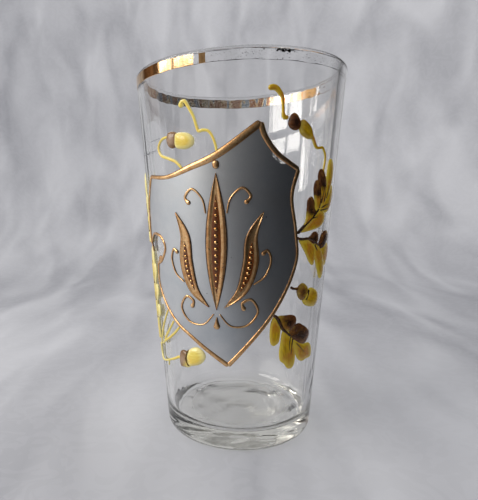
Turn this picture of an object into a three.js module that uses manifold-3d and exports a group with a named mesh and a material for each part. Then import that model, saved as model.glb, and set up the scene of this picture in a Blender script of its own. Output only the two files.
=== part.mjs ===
import * as THREE from "three";
import { mergeVertices } from "three/addons/utils/BufferGeometryUtils.js";
import Module from "manifold-3d";

// A half litre beer glass with a fired-on shield, oak leaves and acorns.
// Millimetres, +Z up. It stands on z = 0 and its shield faces -Y.

const wasm = await Module();
wasm.setup();

const glass = {
  height: 158.5,
  rimRadius: 44,
  footRadius: 34.2, // where the straight side, carried on down, meets the table
  rimWall: 2.8,
  footWall: 3.4,
  bottom: 9, // glass under the drink
  heel: 5, // outside rounding at the foot
  corner: 5, // inside rounding at the bottom
  sides: 72,
};
const band = { belowRim: 1.4, width: 3.5, thickness: 0.25 };
const seat = 0.2; // clearance under each fired-on layer, and between neighbours in one layer
const ground = { thickness: 0.5, bend: 6 }; // bend is the widest flat facet of the curved field
const border = { width: 1.8, rise: 1 };
const gilding = { leaf: 0.45, panel: 0.3, line: 0.6, bead: 1.3 };
const enamel = { leaf: 0.9, vein: 0.5, stem: 0.8, cup: 1.7, nut: 2.2 };

const paint = {
  glass: { color: "#dfe8e4", roughness: 0.03, metalness: 0, transparent: true, opacity: 0.35 },
  gold: { color: "#c9963f", roughness: 0.22, metalness: 1 },
  ground: { color: "#8b97a6", roughness: 0.45, metalness: 0 },
  gilt: { color: "#b98a56", roughness: 0.35, metalness: 1 },
  panel: { color: "#5a2e0a", roughness: 0.4, metalness: 0 },
  yellow: { color: "#d8c63c", roughness: 0.25, metalness: 0 },
  olive: { color: "#8f8020", roughness: 0.3, metalness: 0 },
  brown: { color: "#5a2a14", roughness: 0.3, metalness: 0 },
};

// The straight side: its radius at a height, and its lean from upright.
const slope = (glass.rimRadius - glass.footRadius) / glass.height;
const lean = Math.atan(slope);
const sideRadius = (height) => glass.footRadius + slope * height;

// The decoration is drawn for a glass 158.5 high, and grows and shrinks with the glass.
const drawn = glass.height / 158.5;

// Heights above the glass at which the layers start.
const onGlass = seat;
const onGround = onGlass + ground.thickness + seat;
const onLeaf = onGround + gilding.leaf + seat;

const root = new THREE.Group();
root.name = "beer_glass";

function add(name, geometry, look) {
  geometry.computeVertexNormals();
  const mesh = new THREE.Mesh(geometry, new THREE.MeshStandardMaterial(paint[look]));
  mesh.name = name;
  root.add(mesh);
}

// Everything on the side is drawn flat first: x is the way round from the front line, y the height
// and z the distance outwards, all in millimetres. wrap lays such a piece round the glass.
function wrap(flat) {
  const place = flat.getAttribute("position");
  for (let i = 0; i < place.count; i++) {
    const up = place.getY(i) * drawn;
    const angle = (place.getX(i) * drawn) / sideRadius(up);
    const radius = sideRadius(up) + place.getZ(i) * Math.cos(lean);
    const height = up - place.getZ(i) * Math.sin(lean);
    place.setXYZ(i, radius * Math.sin(angle), -radius * Math.cos(angle), height);
  }
  return flat;
}

// The bare, merged form of a geometry, with its position only.
function bare(geometry) {
  const position = new THREE.BufferGeometry();
  position.setAttribute("position", geometry.getAttribute("position"));
  position.setIndex(geometry.getIndex());
  return mergeVertices(position, 1e-4);
}

// Joins closed pieces into one.
function join(pieces) {
  const solids = pieces.map((piece) => {
    const clean = bare(piece);
    return new wasm.Manifold(
      new wasm.Mesh({
        numProp: 3,
        vertProperties: clean.getAttribute("position").array,
        triVerts: new Uint32Array(clean.getIndex().array),
      }),
    );
  });
  const mesh = wasm.Manifold.union(solids).getMesh();
  const joined = new THREE.BufferGeometry();
  joined.setAttribute("position", new THREE.BufferAttribute(mesh.vertProperties, 3));
  joined.setIndex(new THREE.BufferAttribute(mesh.triVerts, 1));
  return joined;
}

// Points along a smooth line through the given ones. With ease they crowd at both ends, which
// rounds off a blob.
function line(through, count, ease = false) {
  const curve = new THREE.SplineCurve(through.map(([x, y]) => new THREE.Vector2(x, y)));
  const steps = [...Array(count + 1).keys()].map((i) => i / count);
  return steps.map((t) => curve.getPointAt(ease ? (1 - Math.cos(Math.PI * t)) / 2 : t));
}

// The sideways direction at each point of a line, made longer at a sharp turn so that the edges of
// a stroke keep their distance.
function sideways(points, closed) {
  const last = points.length - 1;
  return points.map((point, i) => {
    const before = points[i > 0 ? i - 1 : closed ? last : 0];
    const after = points[i < last ? i + 1 : closed ? 0 : last];
    const arriving = new THREE.Vector2().subVectors(point, before).normalize();
    const leaving = new THREE.Vector2().subVectors(after, point).normalize();
    const along = new THREE.Vector2().addVectors(arriving, leaving).normalize();
    const bend = Math.max(0.45, along.dot(i < last || closed ? leaving : arriving));
    return new THREE.Vector2(-along.y, along.x).divideScalar(bend);
  });
}

// A stroke laid with the brush: a crowned section along a line. half gives half its width at 0 to 1
// of the way, and across is how many facets its top has.
function stroke(points, half, rise, floor, { across = 2, closed = false } = {}) {
  const normals = sideways(points, closed);
  const ring = 2 * (across + 1);
  const place = [];
  points.forEach((point, i) => {
    const reach = half(i / (points.length - 1));
    const put = (u, height) =>
      place.push(point.x + normals[i].x * reach * u, point.y + normals[i].y * reach * u, height);
    for (let k = 0; k <= across; k++) {
      const u = (2 * k) / across - 1;
      put(u, floor + rise * (0.4 + 0.6 * Math.sqrt(1 - u * u)));
    }
    for (let k = across; k >= 0; k--) put((2 * k) / across - 1, floor);
  });
  const faces = [];
  const stations = points.length;
  for (let i = 0; i < (closed ? stations : stations - 1); i++) {
    const here = i * ring;
    const next = ((i + 1) % stations) * ring;
    for (let k = 0; k < ring; k++) {
      const m = (k + 1) % ring;
      faces.push(here + k, next + k, next + m, here + k, next + m, here + m);
    }
  }
  if (!closed) {
    const end = (stations - 1) * ring;
    for (let k = 1; k < ring - 1; k++) {
      faces.push(0, k, k + 1);
      faces.push(end, end + k + 1, end + k);
    }
  }
  const flat = new THREE.BufferGeometry();
  flat.setAttribute("position", new THREE.Float32BufferAttribute(place, 3));
  flat.setIndex(faces);
  return flat;
}

// Half widths along a stroke: even, running from one width to another, pointed at both ends, and
// round at both ends.
const even = (half) => () => half;
const taper = (from, to) => (t) => from + (to - from) * t;
const lens = (half) => (t) => Math.max(0.25, half * Math.sin(Math.PI * t));
const round = (half) => (t) => Math.max(0.3, half * Math.sqrt(1 - (2 * t - 1) ** 2));

// Cuts each triangle of a flat piece where it crosses the lines n * step of one axis, so that the
// piece can bend there.
function slice(flat, axis, step) {
  const source = (flat.getIndex() ? flat.toNonIndexed() : flat).getAttribute("position");
  let triangles = [];
  for (let i = 0; i < source.count; i += 3)
    triangles.push([0, 1, 2].map((k) => new THREE.Vector3().fromBufferAttribute(source, i + k)));
  const all = triangles.flat().map((point) => point[axis]);
  const first = Math.ceil(Math.min(...all) / step);
  for (let n = first; n * step < Math.max(...all); n++) {
    const cut = [];
    for (const triangle of triangles) {
      const side = triangle.map((point) => point[axis] - n * step);
      for (const sign of [-1, 1]) {
        const kept = [];
        triangle.forEach((point, i) => {
          const j = (i + 1) % 3;
          if (side[i] * sign >= 0) kept.push(point);
          if (side[i] * side[j] < 0) {
            const [low, high] = side[i] < 0 ? [i, j] : [j, i];
            const t = side[low] / (side[low] - side[high]);
            kept.push(new THREE.Vector3().lerpVectors(triangle[low], triangle[high], t));
          }
        });
        if (side.every((s) => s * sign <= 0)) continue;
        for (let k = 1; k < kept.length - 1; k++) cut.push([kept[0], kept[k], kept[k + 1]]);
      }
    }
    triangles = cut;
  }
  return new THREE.BufferGeometry().setFromPoints(triangles.flat());
}

// The blown body: the outside from the middle of the foot up over the heel, the rounded rim, then
// down the inside over the corner to the middle of the bottom.
function tumbler() {
  const { height, rimWall, footWall, bottom, heel, corner, sides } = glass;
  const lip = rimWall / 2;
  const lipMiddle = sideRadius(height - lip) - lip;
  const insideFoot = sideRadius(bottom) - footWall;
  const insideSlope = (lipMiddle - lip - insideFoot) / (height - lip - bottom);
  const insideLean = Math.atan(insideSlope);
  const profile = [new THREE.Vector2(0, 0)];
  const arc = (x, y, radius, from, to, steps) => {
    for (let i = 0; i <= steps; i++) {
      const angle = from + ((to - from) * i) / steps;
      profile.push(new THREE.Vector2(x + radius * Math.cos(angle), y + radius * Math.sin(angle)));
    }
  };
  const heelMiddle = sideRadius(heel) - heel / Math.cos(lean);
  const cornerMiddle =
    insideFoot + insideSlope * corner - corner / Math.cos(insideLean);
  arc(heelMiddle, heel, heel, -Math.PI / 2, -lean, 6);
  arc(lipMiddle, height - lip, lip, 0, Math.PI, 8);
  arc(cornerMiddle, bottom + corner, corner, -insideLean, -Math.PI / 2, 5);
  profile.push(new THREE.Vector2(0, bottom));
  return new THREE.LatheGeometry(profile, sides).rotateX(Math.PI / 2);
}

// Burnished gold painted round the glass just under its rim.
function rimBand() {
  const top = glass.height - band.belowRim;
  const point = (height, out) =>
    new THREE.Vector2(sideRadius(height) + out, height);
  const corners = [
    point(top - band.width, onGlass),
    point(top - band.width, onGlass + band.thickness),
    point(top, onGlass + band.thickness),
    point(top, onGlass),
    point(top - band.width, onGlass),
  ];
  return new THREE.LatheGeometry(corners, glass.sides).rotateX(Math.PI / 2);
}

// The middle of the shield's gilt line, as smooth runs between its corners: from the left corner over
// the peak, the right corner and the bottom tip to the notch at the left, and back.
const shield = {
  leftCorner: [-43.2, 117],
  peak: [6.2, 133.6],
  rightCorner: [21.3, 117.8],
  tip: [-5, 41.7],
  notchFoot: [-41.2, 81.5],
  notchTop: [-41.9, 94.1],
};
const shieldRuns = [
  [shield.leftCorner, [-31, 116.4], [-19, 119.6], [-8, 123.9], shield.peak],
  [shield.peak, [8, 128.8], [12.8, 123], shield.rightCorner],
  [shield.rightCorner, [18.9, 108], [21.3, 95], [21.8, 82], [12.4, 63.1], shield.tip],
  [shield.tip, [-20, 51.9], [-28.3, 57], [-36.7, 65], [-41.5, 73.2], shield.notchFoot],
  [shield.notchFoot, [-38, 83], [-34.6, 88.3], [-37.3, 93.2], shield.notchTop],
  [shield.notchTop, [-45.9, 98.8], [-47.7, 106], [-46.5, 112.3], shield.leftCorner],
];

// The edge as one closed list of points, without the repeated ones where two runs meet.
function shieldEdge() {
  return shieldRuns.flatMap((run) => line(run, 3 * (run.length - 1) + 2).slice(0, -1));
}

// The enamel field, set in from the border by the clearance.
function shieldGround() {
  const edge = shieldEdge();
  const inset = border.width / 2 + seat;
  const inwards = sideways(edge, true);
  const shape = new THREE.Shape(edge.map((point, i) => point.clone().addScaledVector(inwards[i], -inset)));
  const plate = new THREE.ExtrudeGeometry(shape, { depth: ground.thickness, bevelEnabled: false });
  plate.translate(0, 0, onGlass);
  return bare(wrap(slice(slice(plate, "x", ground.bend), "y", 4 * ground.bend)));
}

// The raised gilt line round the field.
function shieldBorder() {
  return wrap(stroke(shieldEdge(), even(border.width / 2), border.rise, onGlass, { closed: true }));
}

// The ornament in the middle of the shield: leaves with beaded panels, scrolls and curls, the same
// on both sides of a middle line. Its middle is this far to the right of the shield's and above it.
const ornament = { right: 1.45, above: 2.35 };
const ornamentMiddle = [
  (shield.leftCorner[0] + shield.rightCorner[0]) / 2 + ornament.right,
  (shield.tip[1] + shield.peak[1]) / 2 + ornament.above,
];

// Moves points of the ornament, drawn round its middle, into place. Side is -1 or 1.
const placed = (points, side = 1) =>
  points.map(([x, y]) => [ornamentMiddle[0] + side * x, ornamentMiddle[1] + y]);

function gildedLeaf(through, half, side = 1) {
  return wrap(stroke(line(placed(through, side), 14), lens(half), gilding.leaf, onGround));
}

// The dark panel along a leaf, with a row of gold beads fused to it.
function beadedPanel(through, half, beads, side = 1) {
  const middle = placed(through, side);
  const panel = stroke(line(middle, 12), lens(half), gilding.panel, onLeaf);
  const rise = 0.4;
  const row = line(middle, beads + 1).slice(1, -1).map((point) => {
    const bead = new THREE.SphereGeometry(gilding.bead / 2, 7, 4).rotateX(Math.PI / 2);
    bead.scale(1, 1, (2 * rise) / gilding.bead);
    return bead.translate(point.x, point.y, onLeaf + rise + 0.05);
  });
  return wrap(join([panel, ...row]));
}

function giltLine(through, half, side = 1) {
  const points = line(placed(through, side), 6 * (through.length - 1));
  return wrap(stroke(points, half, gilding.line, onGround));
}

// The half of the ornament on one side of its middle line.
function addOrnamentSide(name, side) {
  const leaf = [[3, -24], [9.6, -17], [12.8, -6.5], [13.2, 4], [17.4, 13]];
  const panel = [[9, -17.6], [11.8, -10.5], [12.9, -3.5], [13.2, 2]];
  const scroll = [
    [1.2, -26.7], [5.6, -31.4], [12, -30.9], [15.9, -25.6], [13.4, -20.6], [9.9, -22], [10.8, -25],
  ];
  const tendril = [[14, -14.6], [18.4, -11.4], [20.6, -5.6], [19.2, -1.6], [16.9, -3.2]];
  const curl = [[4, 12.5], [5.4, 18], [9.5, 21.6], [12.6, 18.6], [10.4, 16]];
  add(`ornament_leaf_${name}`, gildedLeaf(leaf, 2.9, side), "gilt");
  add(`ornament_panel_${name}`, beadedPanel(panel, 1.5, 7, side), "panel");
  add(`ornament_scroll_${name}`, giltLine(scroll, taper(0.3, 0.75), side), "gilt");
  add(`ornament_tendril_${name}`, giltLine(tendril, taper(0.35, 0.75), side), "gilt");
  add(`ornament_curl_${name}`, giltLine(curl, taper(0.3, 0.8), side), "gilt");
}

function addOrnament() {
  const drop = (t) => 0.35 + 1.1 * t * Math.sin(0.9 * Math.PI * t);
  add("ornament_centre_leaf", gildedLeaf([[0, -25], [0, 0], [0, 27]], 4), "gilt");
  add("ornament_centre_panel", beadedPanel([[0, -17], [0, 0], [0, 18]], 2, 11), "panel");
  addOrnamentSide("left", -1);
  addOrnamentSide("right", 1);
  add("ornament_drop", giltLine([[0, -28], [0, -33]], drop), "gilt");
  add("ornament_finial", giltLine([[0, 28.5], [0, 31.5]], round(1.2)), "gilt");
}

// An acorn: its cup, a small clearance, and its nut, along a line from the stalk to the tip.
function addAcorn(name, [x, y], [tipX, tipY], cupLength, half) {
  const way = new THREE.Vector2(tipX - x, tipY - y);
  const length = way.length();
  way.normalize();
  const at = (distance) => [x + way.x * distance, y + way.y * distance];
  const cup = line([at(0), at(cupLength)], 6);
  const cupHalf = (t) => half * (0.45 + 0.53 * Math.sin(0.62 * Math.PI * Math.min(1, t + 0.12)));
  const nut = line([at(cupLength + seat), at(length)], 8, true);
  const nutHalf = (t) => Math.max(0.4, half * Math.sqrt(1 - t ** 3.2));
  add(`${name}_cup`, wrap(stroke(cup, cupHalf, enamel.cup, onGlass, { across: 4 })), "brown");
  add(`${name}_nut`, wrap(stroke(nut, nutHalf, enamel.nut, onGlass, { across: 4 })), "yellow");
}

function addStem(name, through, half, look = "yellow") {
  const points = line(through, 5 * (through.length - 1));
  add(name, wrap(stroke(points, half, enamel.stem, onGlass)), look);
}

// An oak leaf: a rib, and lobes given by their root on the rib, their tip and their half width.
function addLeaf(name, rib, lobes, look) {
  const parts = [stroke(line(rib, 8), taper(0.45, 0.7), enamel.vein + enamel.leaf, onGlass)];
  for (const [root, tip, half] of lobes)
    parts.push(stroke(line([root, tip], 6, true), round(half), enamel.leaf, onGlass));
  add(name, wrap(join(parts)), look);
}

function addLeftSide() {
  const topStem = [[-31, 130.2], [-34.6, 129.8], [-35.9, 127], [-34.5, 124.2], [-30, 122.7], [-25.6, 120.2]];
  const tendril = [
    [-23, 140.2], [-22.6, 142], [-21.2, 142.2], [-19.8, 140.2], [-17.9, 137],
    [-16.6, 133.4], [-15.2, 131.9], [-12.6, 131.4], [-10.8, 129.4], [-9.6, 125.4],
  ];
  const bottomStem = [[-28.2, 41], [-34, 38.9], [-41, 37.6], [-47, 39], [-48.2, 42.4]];
  addStem("acorn_top_left_stem", topStem, taper(0.5, 0.6));
  addAcorn("acorn_top_left", [-30.3, 130], [-17.8, 128.7], 4.2, 3.2);
  addStem("tendril_top_left", tendril, taper(1.1, 0.55));
  addStem("acorn_bottom_left_stem", bottomStem, taper(0.5, 0.7));
  addAcorn("acorn_bottom_left", [-27.6, 41], [-14.8, 43.8], 4, 3.3);
  const forks = [[-35.2, 61.2], [-31.4, 57.4], [-28.2, 54.6]].map((from) =>
    stroke(line([from, [-40, 48], [-44.5, 44.6]], 8), taper(0.45, 0.6), enamel.stem, onGlass),
  );
  add("left_forked_stem", wrap(join(forks)), "yellow");
  addLeaf("leaf_lower_left", [[-48.5, 44.5], [-50.5, 53], [-52, 64], [-52.6, 80]], [
    [[-50.6, 54], [-44.2, 60.5], 2.4], [[-51.8, 62], [-44.8, 70], 2.5], [[-52.3, 70], [-45.8, 79], 2.5],
    [[-52.4, 74], [-53, 86.5], 2.7],
    [[-50.6, 54], [-57, 60], 2.5], [[-51.8, 62], [-59, 69.5], 2.7], [[-52.3, 70], [-59, 79], 2.7],
  ], "yellow");
  addLeaf("leaf_upper_left", [[-54.6, 89], [-58, 95], [-61, 102], [-63, 112]], [
    [[-57, 94], [-53.4, 101], 2.3], [[-60, 100], [-56.6, 109.5], 2.5],
    [[-62, 106], [-61.8, 118.5], 2.7],
    [[-57, 94], [-63.5, 96], 2.4], [[-60, 100], [-67.5, 103.5], 2.6], [[-62, 106], [-68.2, 112], 2.5],
  ], "yellow");
}

function addRightSide() {
  const tendril = [
    [8.4, 144.1], [9.8, 145.2], [11.8, 144.7], [13.5, 142.8], [14.1, 139.7], [14.3, 136.9], [15.7, 135.6],
  ];
  const tail = [[27.4, 129.4], [28.6, 127.1], [30.5, 125.5], [33, 125.7], [35, 124.8], [36.2, 122.6]];
  addStem("tendril_top_right", tendril, taper(1, 0.5), "olive");
  addAcorn("acorn_top_right", [16.4, 135.4], [26.6, 130], 4.6, 2.7);
  addStem("acorn_top_right_tail", tail, taper(0.6, 0.55), "olive");
  addLeaf("leaf_upper_right", [[23.4, 95], [30.7, 100.6], [34.6, 106], [37.6, 113.5]], [
    [[32, 102], [28.6, 108.6], 2.1], [[34.6, 106], [31.4, 114.4], 2.2], [[36.4, 111], [35, 119.6], 2.1],
    [[36.6, 110], [41.4, 120], 2.6],
    [[31, 100.5], [35.6, 96.6], 2.1], [[33.6, 104], [39.4, 102], 2.5], [[35.6, 108], [43.6, 110.6], 2.8],
  ], "olive");
  addLeaf("leaf_middle_right", [[23.6, 92.2], [28.7, 91.4], [34.5, 86.5], [38.5, 81]], [
    [[30, 90.8], [34.6, 94.4], 1.9], [[34, 88], [41, 92], 2.1],
    [[31, 90], [32.6, 82.2], 2.3], [[35, 86], [39, 75.4], 2.5], [[35.5, 86], [44.6, 82], 2.6],
  ], "olive");
  addStem("acorn_right_stem", [[21.2, 73.6], [23.6, 72.6]], even(0.55), "brown");
  addAcorn("acorn_right", [24, 72.4], [35, 65.6], 4.4, 2.7);
  addLeaf("leaf_lower_right", [[14.2, 61.6], [18.2, 57.4], [21.5, 52.6], [26, 47]], [
    [[14.8, 60.4], [13.8, 51], 1.9],
    [[16, 60], [23.6, 59.4], 2],
    [[20, 55], [29.6, 56.4], 2.2], [[21, 53], [32.4, 50.8], 2.2],
    [[19.6, 55], [19.4, 39.6], 3], [[22, 52], [30.6, 42], 3],
  ], "olive");
}

add("glass_tumbler", tumbler(), "glass");
add("gold_rim_band", rimBand(), "gold");
add("shield_ground", shieldGround(), "ground");
add("shield_border", shieldBorder(), "gilt");
addOrnament();
addLeftSide();
addRightSide();

export default root;
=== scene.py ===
import math

import bmesh
import bpy
import numpy as np
from mathutils import Matrix


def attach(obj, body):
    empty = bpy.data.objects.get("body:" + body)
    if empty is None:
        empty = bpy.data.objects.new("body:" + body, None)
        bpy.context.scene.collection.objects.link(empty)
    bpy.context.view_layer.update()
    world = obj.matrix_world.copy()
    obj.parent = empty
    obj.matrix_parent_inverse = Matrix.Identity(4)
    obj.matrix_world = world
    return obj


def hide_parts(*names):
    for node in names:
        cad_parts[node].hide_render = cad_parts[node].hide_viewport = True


# Half litre beer glass: gold rim band, shield in satin enamel with raised gilding, oak leaves and acorns
# in raised enamel. Lengths are in millimetres and become metres only when a mesh is made.

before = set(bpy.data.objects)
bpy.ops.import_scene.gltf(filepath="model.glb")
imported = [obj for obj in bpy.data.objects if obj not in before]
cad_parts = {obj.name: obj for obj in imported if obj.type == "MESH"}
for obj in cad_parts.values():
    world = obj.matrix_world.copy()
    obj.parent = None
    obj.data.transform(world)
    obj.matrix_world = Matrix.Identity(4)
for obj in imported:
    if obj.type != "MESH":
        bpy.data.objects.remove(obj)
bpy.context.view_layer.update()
bpy.context.scene.view_settings.view_transform = "Standard"
mm = 0.001
print("stage: frame loaded with", len(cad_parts), "nodes")


# The camera, as the photograph was taken

photoCamera = {
    "place": (-6.433, -209.861, 109.10),
    "yaw": -0.081085,  # turned to the left, in radians
    "pitch": 0.210832,  # looking down
    "roll": -0.019655,
    "focalLength": 451.45,  # in pixels of the picture
    "middle": (188.74, 292.46),  # where the optical axis meets the picture
    "picture": (478, 500),
    "sensor": 36.0,
}


def addCamera(c):
    # It looks along ahead. Right and up are the level and the upright way, turned by the roll.
    yaw, pitch, roll = c["yaw"], c["pitch"], c["roll"]
    ahead = np.array([math.sin(yaw) * math.cos(pitch), math.cos(yaw) * math.cos(pitch), -math.sin(pitch)])
    level = np.array([math.cos(yaw), -math.sin(yaw), 0.0])
    upright = np.cross(level, ahead)
    right = math.cos(roll) * level + math.sin(roll) * upright
    up = math.cos(roll) * upright - math.sin(roll) * level
    data = bpy.data.cameras.new("photoCamera")
    data.sensor_width = c["sensor"]
    longSide = max(c["picture"])
    data.lens = c["focalLength"] * c["sensor"] / longSide
    data.shift_x = (c["picture"][0] / 2 - c["middle"][0]) / longSide
    data.shift_y = (c["middle"][1] - c["picture"][1] / 2) / longSide
    data.clip_start, data.clip_end = 0.005, 20
    holder = bpy.data.objects.new("photoCamera", data)
    bpy.context.scene.collection.objects.link(holder)
    turn = Matrix([[right[i], up[i], -ahead[i]] for i in range(3)])
    holder.matrix_world = Matrix.Translation([v * mm for v in c["place"]]) @ turn.to_4x4()
    bpy.context.scene.camera = holder


addCamera(photoCamera)
print("stage: camera")


# Small helpers for nodes and colours


def linear(hexColour):  # an sRGB hex value as linear red, green, blue and alpha
    parts = [int(hexColour[i : i + 2], 16) / 255 for i in (1, 3, 5)]
    return tuple(v / 12.92 if v <= 0.04045 else ((v + 0.055) / 1.055) ** 2.4 for v in parts) + (1.0,)


def scaleOf(size):  # a noise pattern's scale, from the size of one blotch in millimetres
    return 1 / (size * mm)


def addNode(tree, kind, inputs=None, stops=(), **settings):
    # Adds one shader node and gives back its outputs. An input is named, or numbered where names repeat,
    # and gets a link, a constant or a hex colour. Stops are a colour ramp's places, each with its colour.
    node = tree.nodes.new("ShaderNode" + kind)
    for name, value in settings.items():
        setattr(node, name, value)
    for name, value in (inputs or {}).items():
        if isinstance(value, bpy.types.NodeSocket):
            tree.links.new(value, node.inputs[name])
        else:
            node.inputs[name].default_value = linear(value) if isinstance(value, str) else value
    if stops:
        elements = node.color_ramp.elements
        while len(elements) < len(stops):
            elements.new(0.5)
        for element, (place, value) in zip(elements, stops):
            element.position = place
            element.color = linear(value) if isinstance(value, str) else (value, value, value, 1)
    return node.outputs


def newMaterial(name):
    material = bpy.data.materials.new(name)
    material.use_nodes = True
    material.node_tree.nodes.clear()
    return material, material.node_tree


# Small helpers for meshes

glassBody = {
    "height": 158.5,
    "rimRadius": 44.0,
    "footRadius": 34.2,  # where the straight side, carried on down, meets the table
    "rimWall": 2.8,
    "footWall": 3.4,
    "bottom": 9.0,
    "heel": 5.0,
    "corner": 5.0,
    "around": 288,
    "ripple": 0.05,  # how far the inside of the blown wall strays
    "fineRipple": 0.011,  # and how deep its upright streaks are
    "twist": 0.08,  # slanting waves low down inside
    "twistAt": 22.0,
    "twistReach": 10.0,
    "rings": 0.035,  # faint turning rings in the bottom
    "ringSpacing": 3.1,
    "ringsReach": 26.0,
    "hazeRadius": 25.5,  # the inner floor is worn matt as far as this
}
slope = (glassBody["rimRadius"] - glassBody["footRadius"]) / glassBody["height"]
lean = math.atan(slope)
sunk = -0.03  # fired enamel has melted this far into the glass


def sideRadius(height):  # the outside is a cone: foot radius + slope * height
    return glassBody["footRadius"] + slope * height


def wrapRound(flat):
    # flat has across, up and outwards. The angle is across over the radius at that height, and outwards
    # goes square to the leaning side.
    across, up, out = flat[..., 0], flat[..., 1], flat[..., 2]
    angle = across / sideRadius(up)
    radius = sideRadius(up) + out * math.cos(lean)
    return np.stack([radius * np.sin(angle), -radius * np.cos(angle), up - out * math.sin(lean)], -1)


def gridQuads(rows, columns, closeRows=False, closeColumns=False):
    # the quads between each point of a grid, the next one along and the two in the next row
    i = np.arange(rows if closeRows else rows - 1)
    j = np.arange(columns if closeColumns else columns - 1)
    i, j = np.meshgrid(i, j, indexing="ij")
    nextRow, nextColumn = (i + 1) % rows, (j + 1) % columns
    near, far = i * columns, nextRow * columns
    return np.stack([near + j, near + nextColumn, far + nextColumn, far + j], -1).reshape(-1, 4)


def fanTriangles(pole, first, count, outward):
    # triangles from a pole to each point of a closed ring and the next one; outward turns them round
    j = np.arange(count)
    k = (j + 1) % count
    corners = (j, k) if outward else (k, j)
    return np.stack([np.full(count, pole), *(first + c for c in corners)], -1)


def joined(parts):
    # one part from several: each has points, quads, triangles, map and fields
    start, out = 0, {"points": [], "quads": [], "triangles": [], "slots": [], "map": [], "fields": {}}
    for part in parts:
        count = len(part["points"])
        out["points"].append(part["points"])
        out["quads"].append(part["quads"] + start)
        out["triangles"].append(part["triangles"] + start)
        out["map"].append(part["map"])
        out["slots"].append((part.get("slot", 0), len(part["quads"]), len(part["triangles"])))
        for name, values in part["fields"].items():
            out["fields"].setdefault(name, []).append(np.broadcast_to(values, (count,)))
        start += count
    slots = [np.full(q, s) for s, q, t in out["slots"]] + [np.full(t, s) for s, q, t in out["slots"]]
    out["slots"] = np.concatenate(slots)
    for name in ("points", "quads", "triangles", "map"):
        out[name] = np.concatenate(out[name])
    out["fields"] = {name: np.concatenate(values) for name, values in out["fields"].items()}
    return out


def addPiece(name, parts, materials, nodes, wrapped=True):
    # writes the parts as one mesh, in metres and in place, and lets it stand for its CAD nodes
    part = joined(parts)
    points = wrapRound(part["points"]) if wrapped else part["points"]
    mesh = bpy.data.meshes.new(name)
    quads, triangles = part["quads"], part["triangles"]
    mesh.vertices.add(len(points))
    mesh.vertices.foreach_set("co", (points * mm).astype(np.float32).ravel())
    corners = np.concatenate([quads.ravel(), triangles.ravel()]).astype(np.int32)
    mesh.loops.add(len(corners))
    mesh.loops.foreach_set("vertex_index", corners)
    sizes = np.concatenate([np.full(len(quads), 4), np.full(len(triangles), 3)])
    mesh.polygons.add(len(sizes))
    mesh.polygons.foreach_set("loop_start", np.concatenate([[0], np.cumsum(sizes)[:-1]]).astype(np.int32))
    mesh.polygons.foreach_set("material_index", part["slots"].astype(np.int32))
    mesh.update(calc_edges=True)
    mesh.validate()
    layer = mesh.uv_layers.new(name="surface")
    layer.data.foreach_set("uv", (part["map"][corners] * mm).astype(np.float32).ravel())
    for field, values in part["fields"].items():
        attribute = mesh.attributes.new(field, "FLOAT", "POINT")
        attribute.data.foreach_set("value", values.astype(np.float32))
    shell = bmesh.new()
    shell.from_mesh(mesh)
    bmesh.ops.recalc_face_normals(shell, faces=shell.faces)
    shell.to_mesh(mesh)
    shell.free()
    mesh.shade_smooth()
    for material in materials:
        mesh.materials.append(material)
    piece = bpy.data.objects.new(name, mesh)
    bpy.context.scene.collection.objects.link(piece)
    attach(piece, "root")
    if nodes:
        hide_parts(*nodes)
    return piece


def lengths(path):  # how far along the path each point lies: the sum of the steps before it
    return np.concatenate([[0], np.cumsum(np.hypot(*np.diff(path, axis=0).T))])


def smoothLine(through, spacing=0.22, closed=False):
    # a line through the points: on each stretch a cubic whose slope at a point is half the way between
    # its neighbours, then evenly spaced along its length
    p = np.array(through, float)
    p = np.concatenate([p[-1:], p, p[:2]] if closed else [p[:1], p, p[-1:]])
    t = np.linspace(0, 1, 24, endpoint=False)[:, None]
    stretches = []
    for a, b, c, d in zip(p[:-3], p[1:-2], p[2:-1], p[3:]):
        leave, arrive = (c - a) / 2, (d - b) / 2
        bend = (2 * b - 2 * c + leave + arrive) * t**3 + (3 * c - 3 * b - 2 * leave - arrive) * t**2
        stretches.append(bend + leave * t + b)
    dense = np.concatenate(stretches + [p[-2:-1]])
    way = lengths(dense)
    count = max(8, int(way[-1] / spacing) + 1)
    at = np.linspace(0, way[-1], count)
    line = np.stack([np.interp(at, way, dense[:, k]) for k in (0, 1)], -1)
    return line[:-1] if closed else line


def roundEnds(path, half):
    # the share of its full width that a stroke keeps near its ends, as a half circle
    way = lengths(path)
    near = np.minimum(way, way[-1] - way) / np.maximum(half, 0.05)
    return np.sqrt(np.clip(1 - (1 - np.clip(near, 0, 1)) ** 2, 0, 1))


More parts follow.
